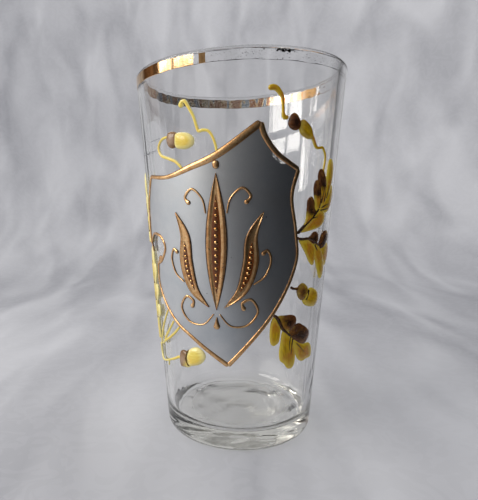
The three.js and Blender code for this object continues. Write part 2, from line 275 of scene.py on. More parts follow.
def stroke(path, half, rise, floor=sunk, crown=None, sections=10, tone=0.0, slot=0):
    # One brush stroke. Its section runs over a crown from edge to edge and back along the glass, and is
    # carried along the path; u is -1 at the left edge and 1 at the right one. Without another crown the
    # height is rise * (0.3 + 0.7 * sqrt(1 - u^2)), and an end keeps 0.4 of its rise.
    count = len(path)
    half = np.broadcast_to(np.asarray(half, float), (count,)).copy()
    ends = roundEnds(path, half)
    half = np.maximum(half * ends, 0.02)
    ahead = np.gradient(path, axis=0)
    ahead /= np.maximum(np.hypot(*ahead.T), 1e-9)[:, None]
    aside = np.stack([-ahead[:, 1], ahead[:, 0]], -1)
    u = -np.cos(np.linspace(0, np.pi, sections))
    shape = crown(u) if crown else 0.3 + 0.7 * np.sqrt(1 - u**2)
    endRise = 0.4
    rise = np.broadcast_to(np.asarray(rise, float), (count,)) * (endRise + (1 - endRise) * ends)
    under = np.array([1.0, 0.0, -1.0])
    allU = np.concatenate([u, under])
    sideways = half[:, None] * allU
    xy = path[:, None, :] + aside[:, None, :] * sideways[..., None]
    z = np.concatenate([floor + rise[:, None] * shape, np.full((count, 3), floor)], 1)
    ring = len(allU)
    points = np.concatenate([xy, z[..., None]], -1).reshape(-1, 3)
    way = np.broadcast_to(lengths(path)[:, None], (count, ring))
    fan = np.arange(1, ring - 1)
    start = np.stack([np.zeros_like(fan), fan, fan + 1], -1)
    return {
        "points": points,
        "quads": gridQuads(count, ring, closeColumns=True),
        "triangles": np.concatenate([start[:, ::-1], start + (count - 1) * ring]),
        "map": np.stack([sideways, way], -1).reshape(-1, 2),
        "slot": slot,
        "fields": {
            "across": np.tile(allU, count),
            "tone": np.repeat(np.broadcast_to(np.asarray(tone, float), (count,)), ring),
        },
    }


def padPart(outline, rise, tones=(0.0, 0.0), rings=10, edgeShare=0.15, power=3.0):
    # A pad of enamel inside a closed outline that starts at its root. Rings shrink from the edge to the
    # middle: a point is middle + share * (edge - middle), and the top there is
    # rise * (edgeShare + (1 - edgeShare) * sqrt(1 - share^power)). The same rings close it below.
    edge = smoothLine(outline, 0.28, closed=True)
    middle = edge.mean(0)
    share = np.sin(np.linspace(np.pi / 2, 0, rings, endpoint=False))
    flat = middle + share[:, None, None] * (edge - middle)
    count = len(edge)
    top = sunk + rise * (edgeShare + (1 - edgeShare) * np.sqrt(1 - share**power))
    height = np.concatenate([np.full(rings, sunk), top])
    both = np.concatenate([flat[::-1], flat])
    both = np.concatenate([both, np.broadcast_to(height[:, None, None], both.shape[:2] + (1,))], -1)
    points = np.concatenate([both.reshape(-1, 3), [[*middle, sunk], [*middle, sunk + rise]]])
    root = np.array(outline[0], float)
    tip = edge[np.argmax(np.hypot(*(edge - root).T))]
    ahead = (tip - root) / np.hypot(*(tip - root))
    along = (points[:, :2] - root) @ ahead
    aside = (points[:, :2] - root) @ np.array([-ahead[1], ahead[0]])
    reach = np.clip(along / along.max(), 0, 1)
    last = (2 * rings - 1) * count
    below, above = len(points) - 2, len(points) - 1
    fans = [fanTriangles(below, 0, count, False), fanTriangles(above, last, count, True)]
    return {
        "points": points,
        "quads": gridQuads(2 * rings, count, closeColumns=True),
        "triangles": np.concatenate(fans),
        "map": np.stack([aside, along], -1),
        "fields": {
            "across": np.concatenate([np.repeat(np.concatenate([share[::-1], share]), count), [0, 0]]),
            "tone": tones[0] + (tones[1] - tones[0]) * reach,
        },
    }


def clubOutline(root, tip, half):
    # narrow at its root, widest at 0.62 of its length, then rounded off
    root, tip = np.array(root, float), np.array(tip, float)
    ahead = tip - root
    aside = np.array([-ahead[1], ahead[0]]) / np.hypot(*ahead)
    t = np.array([0.0, 0.2, 0.45, 0.68, 0.88])
    wide = half * np.array([0.3, 0.55, 0.9, 1.0, 0.72])
    left = root + ahead * t[:, None] + aside * wide[:, None]
    right = root + ahead * t[:, None] - aside * wide[:, None]
    return [tuple(v) for v in [root, *left, tip, *right[::-1]]]


def tapered(path, *widths):  # half widths at even distances along the path
    way = lengths(path)
    return np.interp(way / way[-1], np.linspace(0, 1, len(widths)), widths)


print("stage: helpers")


# Clear glass

# Soda-lime glass, blown in a mould and fire-polished: water clear, a little grey-green where it is thick,
# with faint waves in the wall that bend what is seen through it.
clearGlassLook = {
    "ior": 1.52,
    "hazeRoughness": 0.3,  # the inner floor, dulled by a century of scouring
    "tint": (0.78, 0.775, 0.69, 1),  # shares of light, not a colour to look at, so linear
    "density": 14.0,
    "waveSize": 16.0,
    "waveDepth": 0.05,
    "underWaveSize": 19.0,  # the underside is uneven
    "underWaveDepth": 3.4,
    "grain": 0.35,  # of the dulled floor
    "grainDepth": 0.02,
    "shadow": (0.97, 0.97, 0.965, 1),  # how much light each face of the glass lets through
}


def clearGlassMaterial(look):
    # Lamp and fill light pass straight through, as Blender would otherwise count them twice.
    material, tree = newMaterial("clearSodaGlass")
    place = addNode(tree, "TexCoord")["Object"]
    haze = addNode(tree, "Attribute", attribute_name="haze")["Fac"]
    onUnderside = addNode(tree, "Attribute", attribute_name="under")["Fac"]
    slow = {"Vector": place, "Scale": scaleOf(look["waveSize"]), "Roughness": 0.4}
    waves = addNode(tree, "TexNoise", slow)[0]
    broad = {"Vector": place, "Scale": scaleOf(look["underWaveSize"]), "Detail": 1.5, "Distortion": 0.6}
    under = addNode(tree, "TexNoise", broad)[0]
    under = addNode(tree, "Math", {0: under, 1: onUnderside}, operation="MULTIPLY")[0]
    fine = {"Vector": place, "Scale": scaleOf(look["grain"]), "Roughness": 0.6}
    grain = addNode(tree, "Math", {0: addNode(tree, "TexNoise", fine)[0], 1: haze}, operation="MULTIPLY")[0]
    grain = addNode(tree, "Math", {0: grain, 1: look["grainDepth"]}, operation="MULTIPLY")[0]
    height = {0: under, 1: look["underWaveDepth"], 2: grain}
    height = addNode(tree, "Math", height, operation="MULTIPLY_ADD")[0]
    height = {0: waves, 1: look["waveDepth"], 2: height}
    height = addNode(tree, "Math", height, operation="MULTIPLY_ADD")[0]
    glass = addNode(tree, "BsdfPrincipled", {
        "Base Color": (1, 1, 1, 1),
        "IOR": look["ior"],
        "Transmission Weight": 1.0,
        "Roughness": addNode(tree, "Math", {0: haze, 1: look["hazeRoughness"]}, operation="MULTIPLY")[0],
        "Normal": addNode(tree, "Bump", {"Height": height, "Distance": mm, "Strength": 1.0})["Normal"],
    })[0]
    through = addNode(tree, "BsdfTransparent", {"Color": look["shadow"]})[0]
    path = addNode(tree, "LightPath")
    straight = {0: path["Is Shadow Ray"], 1: path["Is Diffuse Ray"]}
    straight = addNode(tree, "Math", straight, operation="MAXIMUM")[0]
    surface = addNode(tree, "MixShader", {0: straight, 1: glass, 2: through})[0]
    absorb = addNode(tree, "VolumeAbsorption", {"Color": look["tint"], "Density": look["density"]})[0]
    addNode(tree, "OutputMaterial", {"Surface": surface, "Volume": absorb})
    return material


def arc(x, y, radius, start, end, steps):  # middle + radius * (cos, sin) of the angle
    angle = np.linspace(start, end, steps)
    return np.stack([x + radius * np.cos(angle), y + radius * np.sin(angle)], -1)


def between(start, end, count):  # points at even distances between two others
    return start + (end - start) * np.linspace(0, 1, count + 2)[1:-1, None]


def tumblerPart(g):
    # The profile runs out along the underside, up over the heel and the side, round the lip, down the
    # inside and in along the bottom; it is then turned round the axis. On the inside the radius gains a sum
    # of sines of the angle and the height, and on the floor the height gains one of the radius.
    lip = g["rimWall"] / 2
    lipMiddle = sideRadius(g["height"] - lip) - lip
    insideFoot = sideRadius(g["bottom"]) - g["footWall"]
    insideSlope = (lipMiddle - lip - insideFoot) / (g["height"] - lip - g["bottom"])
    insideLean = math.atan(insideSlope)
    heelMiddle = sideRadius(g["heel"]) - g["heel"] / math.cos(lean)
    cornerMiddle = insideFoot + insideSlope * g["corner"] - g["corner"] / math.cos(insideLean)
    heel = arc(heelMiddle, g["heel"], g["heel"], -math.pi / 2, -lean, 16)
    edge = arc(lipMiddle, g["height"] - lip, lip, -lean, math.pi - insideLean, 18)
    corner = arc(cornerMiddle, g["bottom"] + g["corner"], g["corner"], -insideLean, -math.pi / 2, 16)
    under = between(np.zeros(2), np.array([heelMiddle, 0.0]), 12)
    floor = between(np.array([cornerMiddle, g["bottom"]]), np.array([0.0, g["bottom"]]), 58)
    outside, inside = between(heel[-1], edge[0], 40), between(edge[-1], corner[0], 56)
    profile = np.concatenate([under, heel, outside, edge, inside, corner, floor])
    insideShare = np.zeros(len(profile))
    first = len(under) + len(heel) + len(outside) + len(edge)
    insideShare[first : first + len(inside)] = np.sin(np.linspace(0, np.pi, len(inside))) ** 0.5
    ringShare = np.zeros(len(profile))
    ringShare[-len(floor) :] = 1
    angle = np.linspace(0, 2 * np.pi, g["around"], endpoint=False)
    radius = np.repeat(profile[:, :1], g["around"], 1)
    height = np.repeat(profile[:, 1:], g["around"], 1)
    stray = (
        np.sin(3 * angle + 1.3 + height * 0.021)
        + 0.6 * np.sin(5 * angle - 0.7 - height * 0.043)
        + 0.4 * np.sin(11 * angle + 0.4 + height * 0.06)
    )
    streaks = np.sin(37 * angle + 0.5) + np.sin(53 * angle + 2.1 + height * 0.01) + np.sin(71 * angle - 1.2)
    low = np.exp(-(((height - g["twistAt"]) / g["twistReach"]) ** 2))
    twist = low * (np.sin(17 * angle - 0.5 * height) + 0.6 * np.sin(29 * angle + 1.0 - 0.62 * height))
    waves = g["ripple"] * stray + g["fineRipple"] * streaks + g["twist"] * twist
    radius = radius + insideShare[:, None] * waves
    fade = np.clip((g["ringsReach"] - radius) / 6, 0, 1) * np.clip(radius / 3, 0, 1)
    turning = np.cos(2 * np.pi * radius / g["ringSpacing"] + 0.3 * np.sin(2 * angle))
    height = height + ringShare[:, None] * g["rings"] * fade * turning
    rings = np.stack([radius * np.sin(angle), -radius * np.cos(angle), height], -1)
    points = np.concatenate([rings.reshape(-1, 3), [[0, 0, 0], [0, 0, g["bottom"]]]])
    last = (len(profile) - 1) * g["around"]
    fromAxis = np.hypot(points[:, 0], points[:, 1])
    onFloor = np.abs(points[:, 2] - g["bottom"]) < 1
    haze = onFloor * np.clip((g["hazeRadius"] - fromAxis) / 3, 0, 1)
    underside = (points[:, 2] < 0.6) * np.clip((fromAxis - 3) / 6, 0, 1)
    poles = len(points) - 2, len(points) - 1
    fans = [fanTriangles(poles[0], 0, g["around"], True), fanTriangles(poles[1], last, g["around"], False)]
    return {
        "points": points,
        "quads": gridQuads(len(profile), g["around"], closeColumns=True),
        "triangles": np.concatenate(fans),
        "map": points[:, :2],
        "fields": {"haze": haze, "under": underside},
    }


clearGlass = clearGlassMaterial(clearGlassLook)
blown = [tumblerPart(glassBody)]
addPiece("glass_tumbler_blown", blown, [clearGlass], ["glass_tumbler"], wrapped=False)
print("stage: glass")


# Gold band under the rim

# Bright gold, painted on with a brush and burnished: a mirror with fine lines round the glass. Much of it
# has rubbed off, and thin lines stay where the paint was thickest, along its edges.
goldBand = {
    "belowRim": 1.4,
    "width": 3.5,
    "widerBehind": 0.6,
    "thickness": 0.05,
    "wornFrom": -17.0,  # degrees round from the front line, to the right
    "wornTo": 114.0,
    "gap": (-21.6, 2.6),  # a first gap in front, and how wide
    "fading": 80.0,  # degrees over which the gold comes back behind, in patches
    "around": 720,
    "gold": "#E6C496",
    "rubbed": "#B89268",
    "fromInside": "#F2DAB2",
    "mirroredBlueGrey": "#A8B4C2",  # seen from inside, where the gold lies on the glass; with the brown below, a painted reflection of the room
    "mirroredBrown": "#B47C52",
    "faded": "#94744C",
    "greyed": "#B8BABD",
    "dulled": 0.45,  # how metallic its matt specks still are
    "streaked": "#8E6236",  # brown shades that cross the brush lines outside
    "crust": "#2E231A",
    "residue": 19.0,  # degrees round, where a dark crust is left on the worn part
    "residueReach": 10.0,
    "mapRadius": 43.9,
    "blotch": 2.2,  # sizes of its patterns
    "fleck": 0.45,
    "patch": 4.5,
    "streak": 3.0,
    "crumb": 0.7,
    "brushLine": 0.16,
    "edgeLine": 0.2,  # how wide the thin lines along its edges are
    "brokenLine": 5.0,  # and how long their pieces
}


def goldBandPart(b):
    # A thin ring on the side: at each angle its section runs down the outside and back up the glass, from
    # a top edge to a bottom one that stray by a few sines of the angle. Worn is 1 from wornFrom on and falls
    # to 0 over the fading, and 1 in the gap; the crust is a bell round its middle, on the upper edge.
    top = glassBody["height"] - b["belowRim"]
    angle = np.linspace(-180, 180, b["around"], endpoint=False)
    r = np.radians(angle)
    edgeTop = top + 0.10 * np.sin(7 * r + 1) + 0.05 * np.sin(23 * r)
    width = b["width"] + b["widerBehind"] * (1 - np.cos(r)) / 2
    edgeBottom = top - width + 0.10 * np.sin(5 * r + 2) + 0.06 * np.sin(19 * r + 0.5)
    down = np.array([0, 0.04, 0.1, 0.25, 0.5, 0.75, 0.9, 0.96, 1])
    outer = edgeTop[:, None] + (edgeBottom - edgeTop)[:, None] * down
    height = np.concatenate([outer, outer[:, ::-1]], 1)
    out = np.concatenate([np.full_like(outer, b["thickness"]), np.full_like(outer, sunk)], 1)
    radius = sideRadius(height) + out * math.cos(lean)
    ring = height.shape[1]
    points = [radius * np.sin(r)[:, None], -radius * np.cos(r)[:, None], height - out * math.sin(lean)]
    soft = 1.2
    worn = np.clip((angle - b["wornFrom"]) / soft + 0.5, 0, 1)
    worn = worn * np.clip((b["wornTo"] - angle) / b["fading"] + 0.5, 0, 1)
    gapAt, gapWide = b["gap"]
    worn = np.maximum(worn, np.clip((gapWide / 2 - np.abs(angle - gapAt)) / soft + 0.5, 0, 1))
    crust = np.exp(-(((angle - b["residue"]) / b["residueReach"]) ** 2))
    depth = np.concatenate([down, down[::-1]]) * b["width"]
    edge = np.minimum(depth, b["width"] - depth)
    columns = np.tile(np.arange(ring), b["around"])
    slotOf = ((columns >= len(down)) & (columns < ring - 1)).astype(int)
    part = {
        "points": np.stack(points, -1).reshape(-1, 3),
        "quads": gridQuads(b["around"], ring, closeRows=True, closeColumns=True),
        "triangles": np.zeros((0, 3), int),
        "map": np.stack([np.repeat(r * b["mapRadius"], ring), np.tile(depth, b["around"])], -1),
        "fields": {
            "worn": np.repeat(worn, ring),
            "edge": np.tile(edge, b["around"]),
            "crust": np.repeat(crust, ring) * np.tile(depth < 1.0, b["around"]),
        },
    }
    return part, slotOf


def goldBandMaterial(name, b, inside):
    # The metal gives way to clear glass where it is worn. Inside is the gold as it shows through the glass:
    # patchy, with blue-grey and brown patches painted in as a reflection of the room, and duller the more it
    # is worn.
    material, tree = newMaterial(name)
    place = addNode(tree, "TexCoord")["Object"]
    own = addNode(tree, "UVMap", uv_map="surface")[0]
    worn = addNode(tree, "Attribute", attribute_name="worn")["Fac"]
    edge = addNode(tree, "Attribute", attribute_name="edge")["Fac"]
    crusted = addNode(tree, "Attribute", attribute_name="crust")["Fac"]
    broad = {"Vector": place, "Scale": scaleOf(b["blotch"]), "Detail": 4.0, "Roughness": 0.65}
    blotch = addNode(tree, "TexNoise", broad)[0]
    fleck = addNode(tree, "TexNoise", {"Vector": place, "Scale": scaleOf(b["fleck"]), "Roughness": 0.6})[0]
    # worn through where the worn field beats the blotches, but not in the thin lines along the edges
    uneven = addNode(tree, "Math", {0: blotch, 1: 0.5}, operation="SUBTRACT")[0]
    uneven = addNode(tree, "Math", {0: uneven, 1: 0.7, 2: worn}, operation="MULTIPLY_ADD")[0]
    through = addNode(tree, "ValToRGB", {"Fac": uneven}, [(0.44, 0.0), (0.5, 1.0)])[0]
    gappy = {"Vector": place, "Scale": scaleOf(b["brokenLine"]), "Detail": 3.0, "Roughness": 0.7}
    broken = addNode(tree, "TexNoise", gappy)[0]
    broken = addNode(tree, "ValToRGB", {"Fac": broken}, [(0.3, 0.0), (0.62, 1.0)])[0]
    reach = addNode(tree, "Math", {0: broken, 1: b["edgeLine"]}, operation="MULTIPLY")[0]
    line = addNode(tree, "Math", {0: edge, 1: reach}, operation="LESS_THAN")[0]
    specks = addNode(tree, "ValToRGB", {"Fac": fleck}, [(0.66, 0.0), (0.69, 1.0)])[0]
    crumbly = {"Vector": place, "Scale": scaleOf(b["crumb"]), "Detail": 3.0, "Roughness": 0.7}
    crust = addNode(tree, "TexNoise", crumbly)[0]
    crust = addNode(tree, "Math", {0: crusted, 1: crust}, operation="MULTIPLY")[0]
    crust = addNode(tree, "ValToRGB", {"Fac": crust}, [(0.44, 0.0), (0.47, 1.0)])[0]
    specks = addNode(tree, "Math", {0: specks, 1: crust}, operation="MAXIMUM")[0]
    kept = addNode(tree, "Math", {0: line, 1: specks}, operation="MAXIMUM")[0]
    bare = addNode(tree, "Math", {0: 1.0, 1: kept}, operation="SUBTRACT")[0]
    gone = addNode(tree, "Math", {0: through, 1: bare}, operation="MULTIPLY", use_clamp=True)[0]
    stretched = addNode(tree, "Mapping", {"Vector": own, "Scale": (0.06, 1, 1)})[0]
    lines = addNode(tree, "TexNoise", {"Vector": stretched, "Scale": scaleOf(b["brushLine"])})[0]
    if inside:
        wide = addNode(tree, "Mapping", {"Vector": own, "Scale": (1, 0.35, 1)})[0]
        patchy = {"Vector": wide, "Scale": scaleOf(b["patch"]), "Detail": 3.0, "Roughness": 0.65}
        patch = addNode(tree, "TexNoise", patchy)[0]
        # painted reflection: blue-grey and brown patches for the dark and brown sides of the room
        mirroredBlueGrey = addNode(tree, "ValToRGB", {"Fac": patch}, [(0.45, 1.0), (0.49, 0.0)])[0]
        mirroredBrown = addNode(tree, "ValToRGB", {"Fac": patch}, [(0.5, 0.0), (0.54, 1.0)])[0]
        greyed = addNode(tree, "ValToRGB", {"Fac": fleck}, [(0.48, 0.0), (0.6, 0.6)])[0]
        fading = addNode(tree, "ValToRGB", {"Fac": worn}, [(0.12, 0.0), (0.36, 1.0)])[0]
        tint = b["fromInside"]
        for share, colour in ((mirroredBlueGrey, "mirroredBlueGrey"), (mirroredBrown, "mirroredBrown"), (greyed, "greyed"), (fading, "faded")):
            tint = addNode(tree, "Mix", {0: share, 6: tint, 7: b[colour]}, data_type="RGBA")[2]
        matt = addNode(tree, "ValToRGB", {"Fac": worn}, [(0.1, 0.0), (0.4, 0.3)])[0]
        finish = addNode(tree, "ValToRGB", {"Fac": blotch}, [(0.3, 0.14), (0.8, 0.26)])[0]
        finish = addNode(tree, "Math", {0: finish, 1: matt}, operation="ADD")[0]
        metallic = addNode(tree, "ValToRGB", {"Fac": fleck}, [(0.42, 1.0), (0.58, b["dulled"])])[0]
    else:
        tall = addNode(tree, "Mapping", {"Vector": own, "Scale": (1, 0.05, 1)})[0]
        crossing = {"Vector": tall, "Scale": scaleOf(b["streak"]), "Roughness": 0.6}
        streak = addNode(tree, "TexNoise", crossing)[0]
        rubbing = addNode(tree, "ValToRGB", {"Fac": blotch}, [(0.35, 0.0), (0.75, 1.0)])[0]
        streaked = addNode(tree, "ValToRGB", {"Fac": streak}, [(0.45, 0.0), (0.7, 0.55)])[0]
        tint = addNode(tree, "Mix", {0: rubbing, 6: b["gold"], 7: b["rubbed"]}, data_type="RGBA")[2]
        tint = addNode(tree, "Mix", {0: streaked, 6: tint, 7: b["streaked"]}, data_type="RGBA")[2]
        finish = addNode(tree, "ValToRGB", {"Fac": blotch}, [(0.3, 0.07), (0.8, 0.16)])[0]
        metallic = 1.0
    burnt = addNode(tree, "ValToRGB", {"Fac": worn}, [(0.45, 0.0), (0.85, 1.0)])[0]
    metal = addNode(tree, "BsdfPrincipled", {
        "Base Color": addNode(tree, "Mix", {0: burnt, 6: tint, 7: b["crust"]}, data_type="RGBA")[2],
        "Metallic": metallic,
        "Roughness": finish,
        "Normal": addNode(tree, "Bump", {"Height": lines, "Distance": 0.006 * mm, "Strength": 1.0})["Normal"],
    })[0]
    clear = addNode(tree, "BsdfTransparent")[0]
    surface = addNode(tree, "MixShader", {0: gone, 1: metal, 2: clear})[0]
    addNode(tree, "OutputMaterial", {"Surface": surface})
    return material


bandPart, bandSlots = goldBandPart(goldBand)
bandMaterials = [
    goldBandMaterial("burnishedGold", goldBand, False),
    goldBandMaterial("burnishedGoldThroughGlass", goldBand, True),
]
band = addPiece("gold_rim_band_burnished", [bandPart], bandMaterials, ["gold_rim_band"],
    wrapped=False)
band.data.polygons.foreach_set("material_index", bandSlots.astype(np.int32))
band.data.update()
print("stage: gold band")


# Shield

# The gilt line's own middle, as smooth runs between the corners of the shield.
shield = {
    "leftCorner": (-43.2, 117),
    "peak": (6.2, 133.6),
    "rightCorner": (21.3, 117.8),
    "tip": (-5, 41.7),
    "notchFoot": (-41.2, 81.5),
    "notchTop": (-42.3, 93.9),
    "notchEnd": (-49.6, 88.9),
    "heart": (-12, 89),
    "chipsAt": 0.63,  # along the upper right edge, from the peak to the right corner
    "chipsReach": 0.13,  # every point of the edge is in sight from here
    "thickness": 0.5,
    "rings": 44,
}
s = shield
shieldRuns = [  # each with its half widths from start to end
    ([s["leftCorner"], (-31, 116.4), (-19, 119.6), (-8, 123.9), s["peak"]],
        (0.75, 0.8, 1.15, 1.4, 1.45, 1.35)),
    ([s["peak"], (8, 128.8), (12.8, 123), s["rightCorner"]], (1.15, 1.1, 1.0, 0.9)),
    ([s["rightCorner"], (18.9, 108), (21.3, 95), (21.8, 82), (12.4, 63.1), s["tip"]],
        (0.95, 0.75, 0.7, 0.75, 0.8, 0.85, 0.9, 1.0)),
    ([s["tip"], (-20, 51.9), (-28.3, 57), (-36.7, 65), (-41.5, 73.2), s["notchFoot"]],
        (1.1, 0.95, 0.8, 0.7, 0.65, 0.7)),
    ([s["notchFoot"], (-37.6, 83.2), (-34.4, 88.3), (-37.3, 92.7), s["notchTop"]],
        (1.0, 0.85, 0.65, 0.7, 0.7)),
    ([s["notchEnd"], (-50.2, 94), (-49.6, 99.5), (-48.3, 105.7), (-46, 111.3), s["leftCorner"]],
        (0.75, 0.65, 0.6, 0.65, 0.75)),
]
groundBeside = [
    s["notchTop"], (-46.2, 97.2), (-48.8, 101.9), (-48.3, 105.7), (-46, 111.3), s["leftCorner"],
]
groundBelow = [  # the corner of the field that reaches down past the notch
    (-49.3, 89.2), (-50.1, 94), (-49.6, 98.7), (-48.6, 102.6), (-45.6, 101.4), (-42, 97.6),
    (-41.6, 94.4), (-45.4, 93.2), (-48, 91.4),
]

# Grey enamel with a metal lustre in it, painted on and fired to a satin skin: it shines softly and goes
# from pale to nearly black with the light, has a fine grain, slow shifts of tone and a few dark specks.
satinEnamelLook = {
    "grain": 0.5,
    "grainDepth": 0.008,
    "cloud": 14.0,
    "speckSpacing": 5.5,
    "chip": 1.1,
    "roughness": 0.42,
    "lustre": 1.0,
    "ground": "#D0D2D4",
    "cloudy": "#BBC1C7",
    "pale": "#DCDDDE",
    "speck": "#2C2622",
    "chipped": "#F2F2EE",
}


def satinEnamelMaterial(look):
    # Each layer is mixed over those before it by a share of its own, and a chip has no lustre.
    material, tree = newMaterial("satinBlueGreyEnamel")
    place = addNode(tree, "TexCoord")["Object"]
    chips = addNode(tree, "Attribute", attribute_name="chips")["Fac"]
    slow = {"Vector": place, "Scale": scaleOf(look["cloud"]), "Detail": 3.0, "Roughness": 0.55}
    cloud = addNode(tree, "TexNoise", slow)[0]
    fine = {"Vector": place, "Scale": scaleOf(look["grain"]), "Detail": 3.0, "Roughness": 0.6}
    grain = addNode(tree, "TexNoise", fine)[0]
    clouded = addNode(tree, "ValToRGB", {"Fac": cloud}, [(0.3, 0.0), (0.7, 1.0)])[0]
    grainy = addNode(tree, "ValToRGB", {"Fac": grain}, [(0.35, 0.0), (0.8, 0.25)])[0]
    cells = {"Vector": place, "Scale": scaleOf(look["speckSpacing"]), "Randomness": 1.0}
    specks = addNode(tree, "TexVoronoi", cells)["Distance"]
    dots = addNode(tree, "ValToRGB", {"Fac": specks}, [(0.025, 0.75), (0.05, 0.0)])[0]
    # small bright chips along the upper right edge, where the border has been knocked
    crumbly = {"Vector": place, "Scale": scaleOf(look["chip"]), "Detail": 3.0, "Roughness": 0.7}
    flake = addNode(tree, "TexNoise", crumbly)[0]
    flake = addNode(tree, "Math", {0: chips, 1: flake}, operation="MULTIPLY")[0]
    chip = addNode(tree, "ValToRGB", {"Fac": flake}, [(0.46, 0.0), (0.49, 1.0)])[0]
    colour = look["ground"]
    layers = {"cloudy": clouded, "pale": grainy, "speck": dots, "chipped": chip}
    for over, share in layers.items():
        colour = addNode(tree, "Mix", {0: share, 6: colour, 7: look[over]}, data_type="RGBA")[2]
    lustre = {0: chip, 1: -look["lustre"], 2: look["lustre"]}
    shine = [(0.25, look["roughness"] - 0.04), (0.75, look["roughness"] + 0.06)]
    relief = {"Height": grain, "Distance": look["grainDepth"] * mm, "Strength": 1.0}
    surface = addNode(tree, "BsdfPrincipled", {
        "Base Color": colour,
        "Metallic": addNode(tree, "Math", lustre, operation="MULTIPLY_ADD")[0],
        "Roughness": addNode(tree, "ValToRGB", {"Fac": cloud}, shine)[0],
        "Normal": addNode(tree, "Bump", relief)["Normal"],
        "IOR": 1.5,
    })[0]
    addNode(tree, "OutputMaterial", {"Surface": surface})
    return material


def shieldParts(s):
    # Rings shrink from the edge to the heart: a point is heart + share * (edge - heart). The first two lie
    # close together to keep the edge crisp, and the same rings close it against the glass. Chips is 1 within
    # chipsReach of chipsAt on the second run, and falls to 0 at twice that and a little way in.
    runs = [run for run, widths in shieldRuns[:-1]] + [groundBeside]
    pieces = [smoothLine(run, 0.5)[:-1] for run in runs]
    edge = np.concatenate(pieces)
    onRun = [np.linspace(0, 1, len(piece)) + (number != 1) * 9 for number, piece in enumerate(pieces)]
    chipped = np.clip(2 - np.abs(np.concatenate(onRun) - s["chipsAt"]) / s["chipsReach"], 0, 1)
    heart = np.array(s["heart"], float)
    share = np.concatenate([[1, 0.998], np.linspace(0.98, 0, s["rings"], endpoint=False)])
    flat = heart + share[:, None, None] * (edge - heart)
    count = len(edge)
    top = s["thickness"]
    topRings = np.concatenate([flat, np.full(flat.shape[:2] + (1,), top)], -1)
    underRings = np.concatenate([flat, np.full(flat.shape[:2] + (1,), sunk)], -1)[::-1]
    rings = np.concatenate([underRings, topRings])
    points = np.concatenate([rings.reshape(-1, 3), [[*heart, sunk], [*heart, top]]])
    last = (len(rings) - 1) * count
    poles = len(points) - 2, len(points) - 1
    fans = [fanTriangles(poles[0], 0, count, False), fanTriangles(poles[1], last, count, True)]
    chips = chipped * np.clip((np.concatenate([share[::-1], share])[:, None] - 0.935) / 0.02, 0, 1)
    below = padPart(groundBelow, s["thickness"] * 0.9 - sunk, edgeShare=0.7)
    below["fields"] = {"chips": np.zeros(len(below["points"]))}
    field = {
        "points": points,
        "quads": gridQuads(len(rings), count, closeColumns=True),
        "triangles": np.concatenate(fans),
        "map": points[:, :2],
        "fields": {"chips": np.concatenate([chips.ravel(), [0, 0]])},
    }
    return [field, below]


satinEnamel = satinEnamelMaterial(satinEnamelLook)
addPiece("shield_ground_enamel", shieldParts(shield), [satinEnamel], ["shield_ground"])
print("stage: shield ground")


# Gold burnished over raised paste: warm copper gold on the crown of the line, browner at its foot, where
# a dark line frames it, and pitted with small dark pinholes.
raisedGildingLook = {
    "gold": "#F4CE9A",
    "deep": "#B4743A",
    "foot": "#2A1A10",
    "roughness": 0.28,
    "blotch": 1.6,
    "grain": 0.3,
    "pitSize": 1.1,
    "pitted": 9.0,  # size of the regions that have pinholes
}


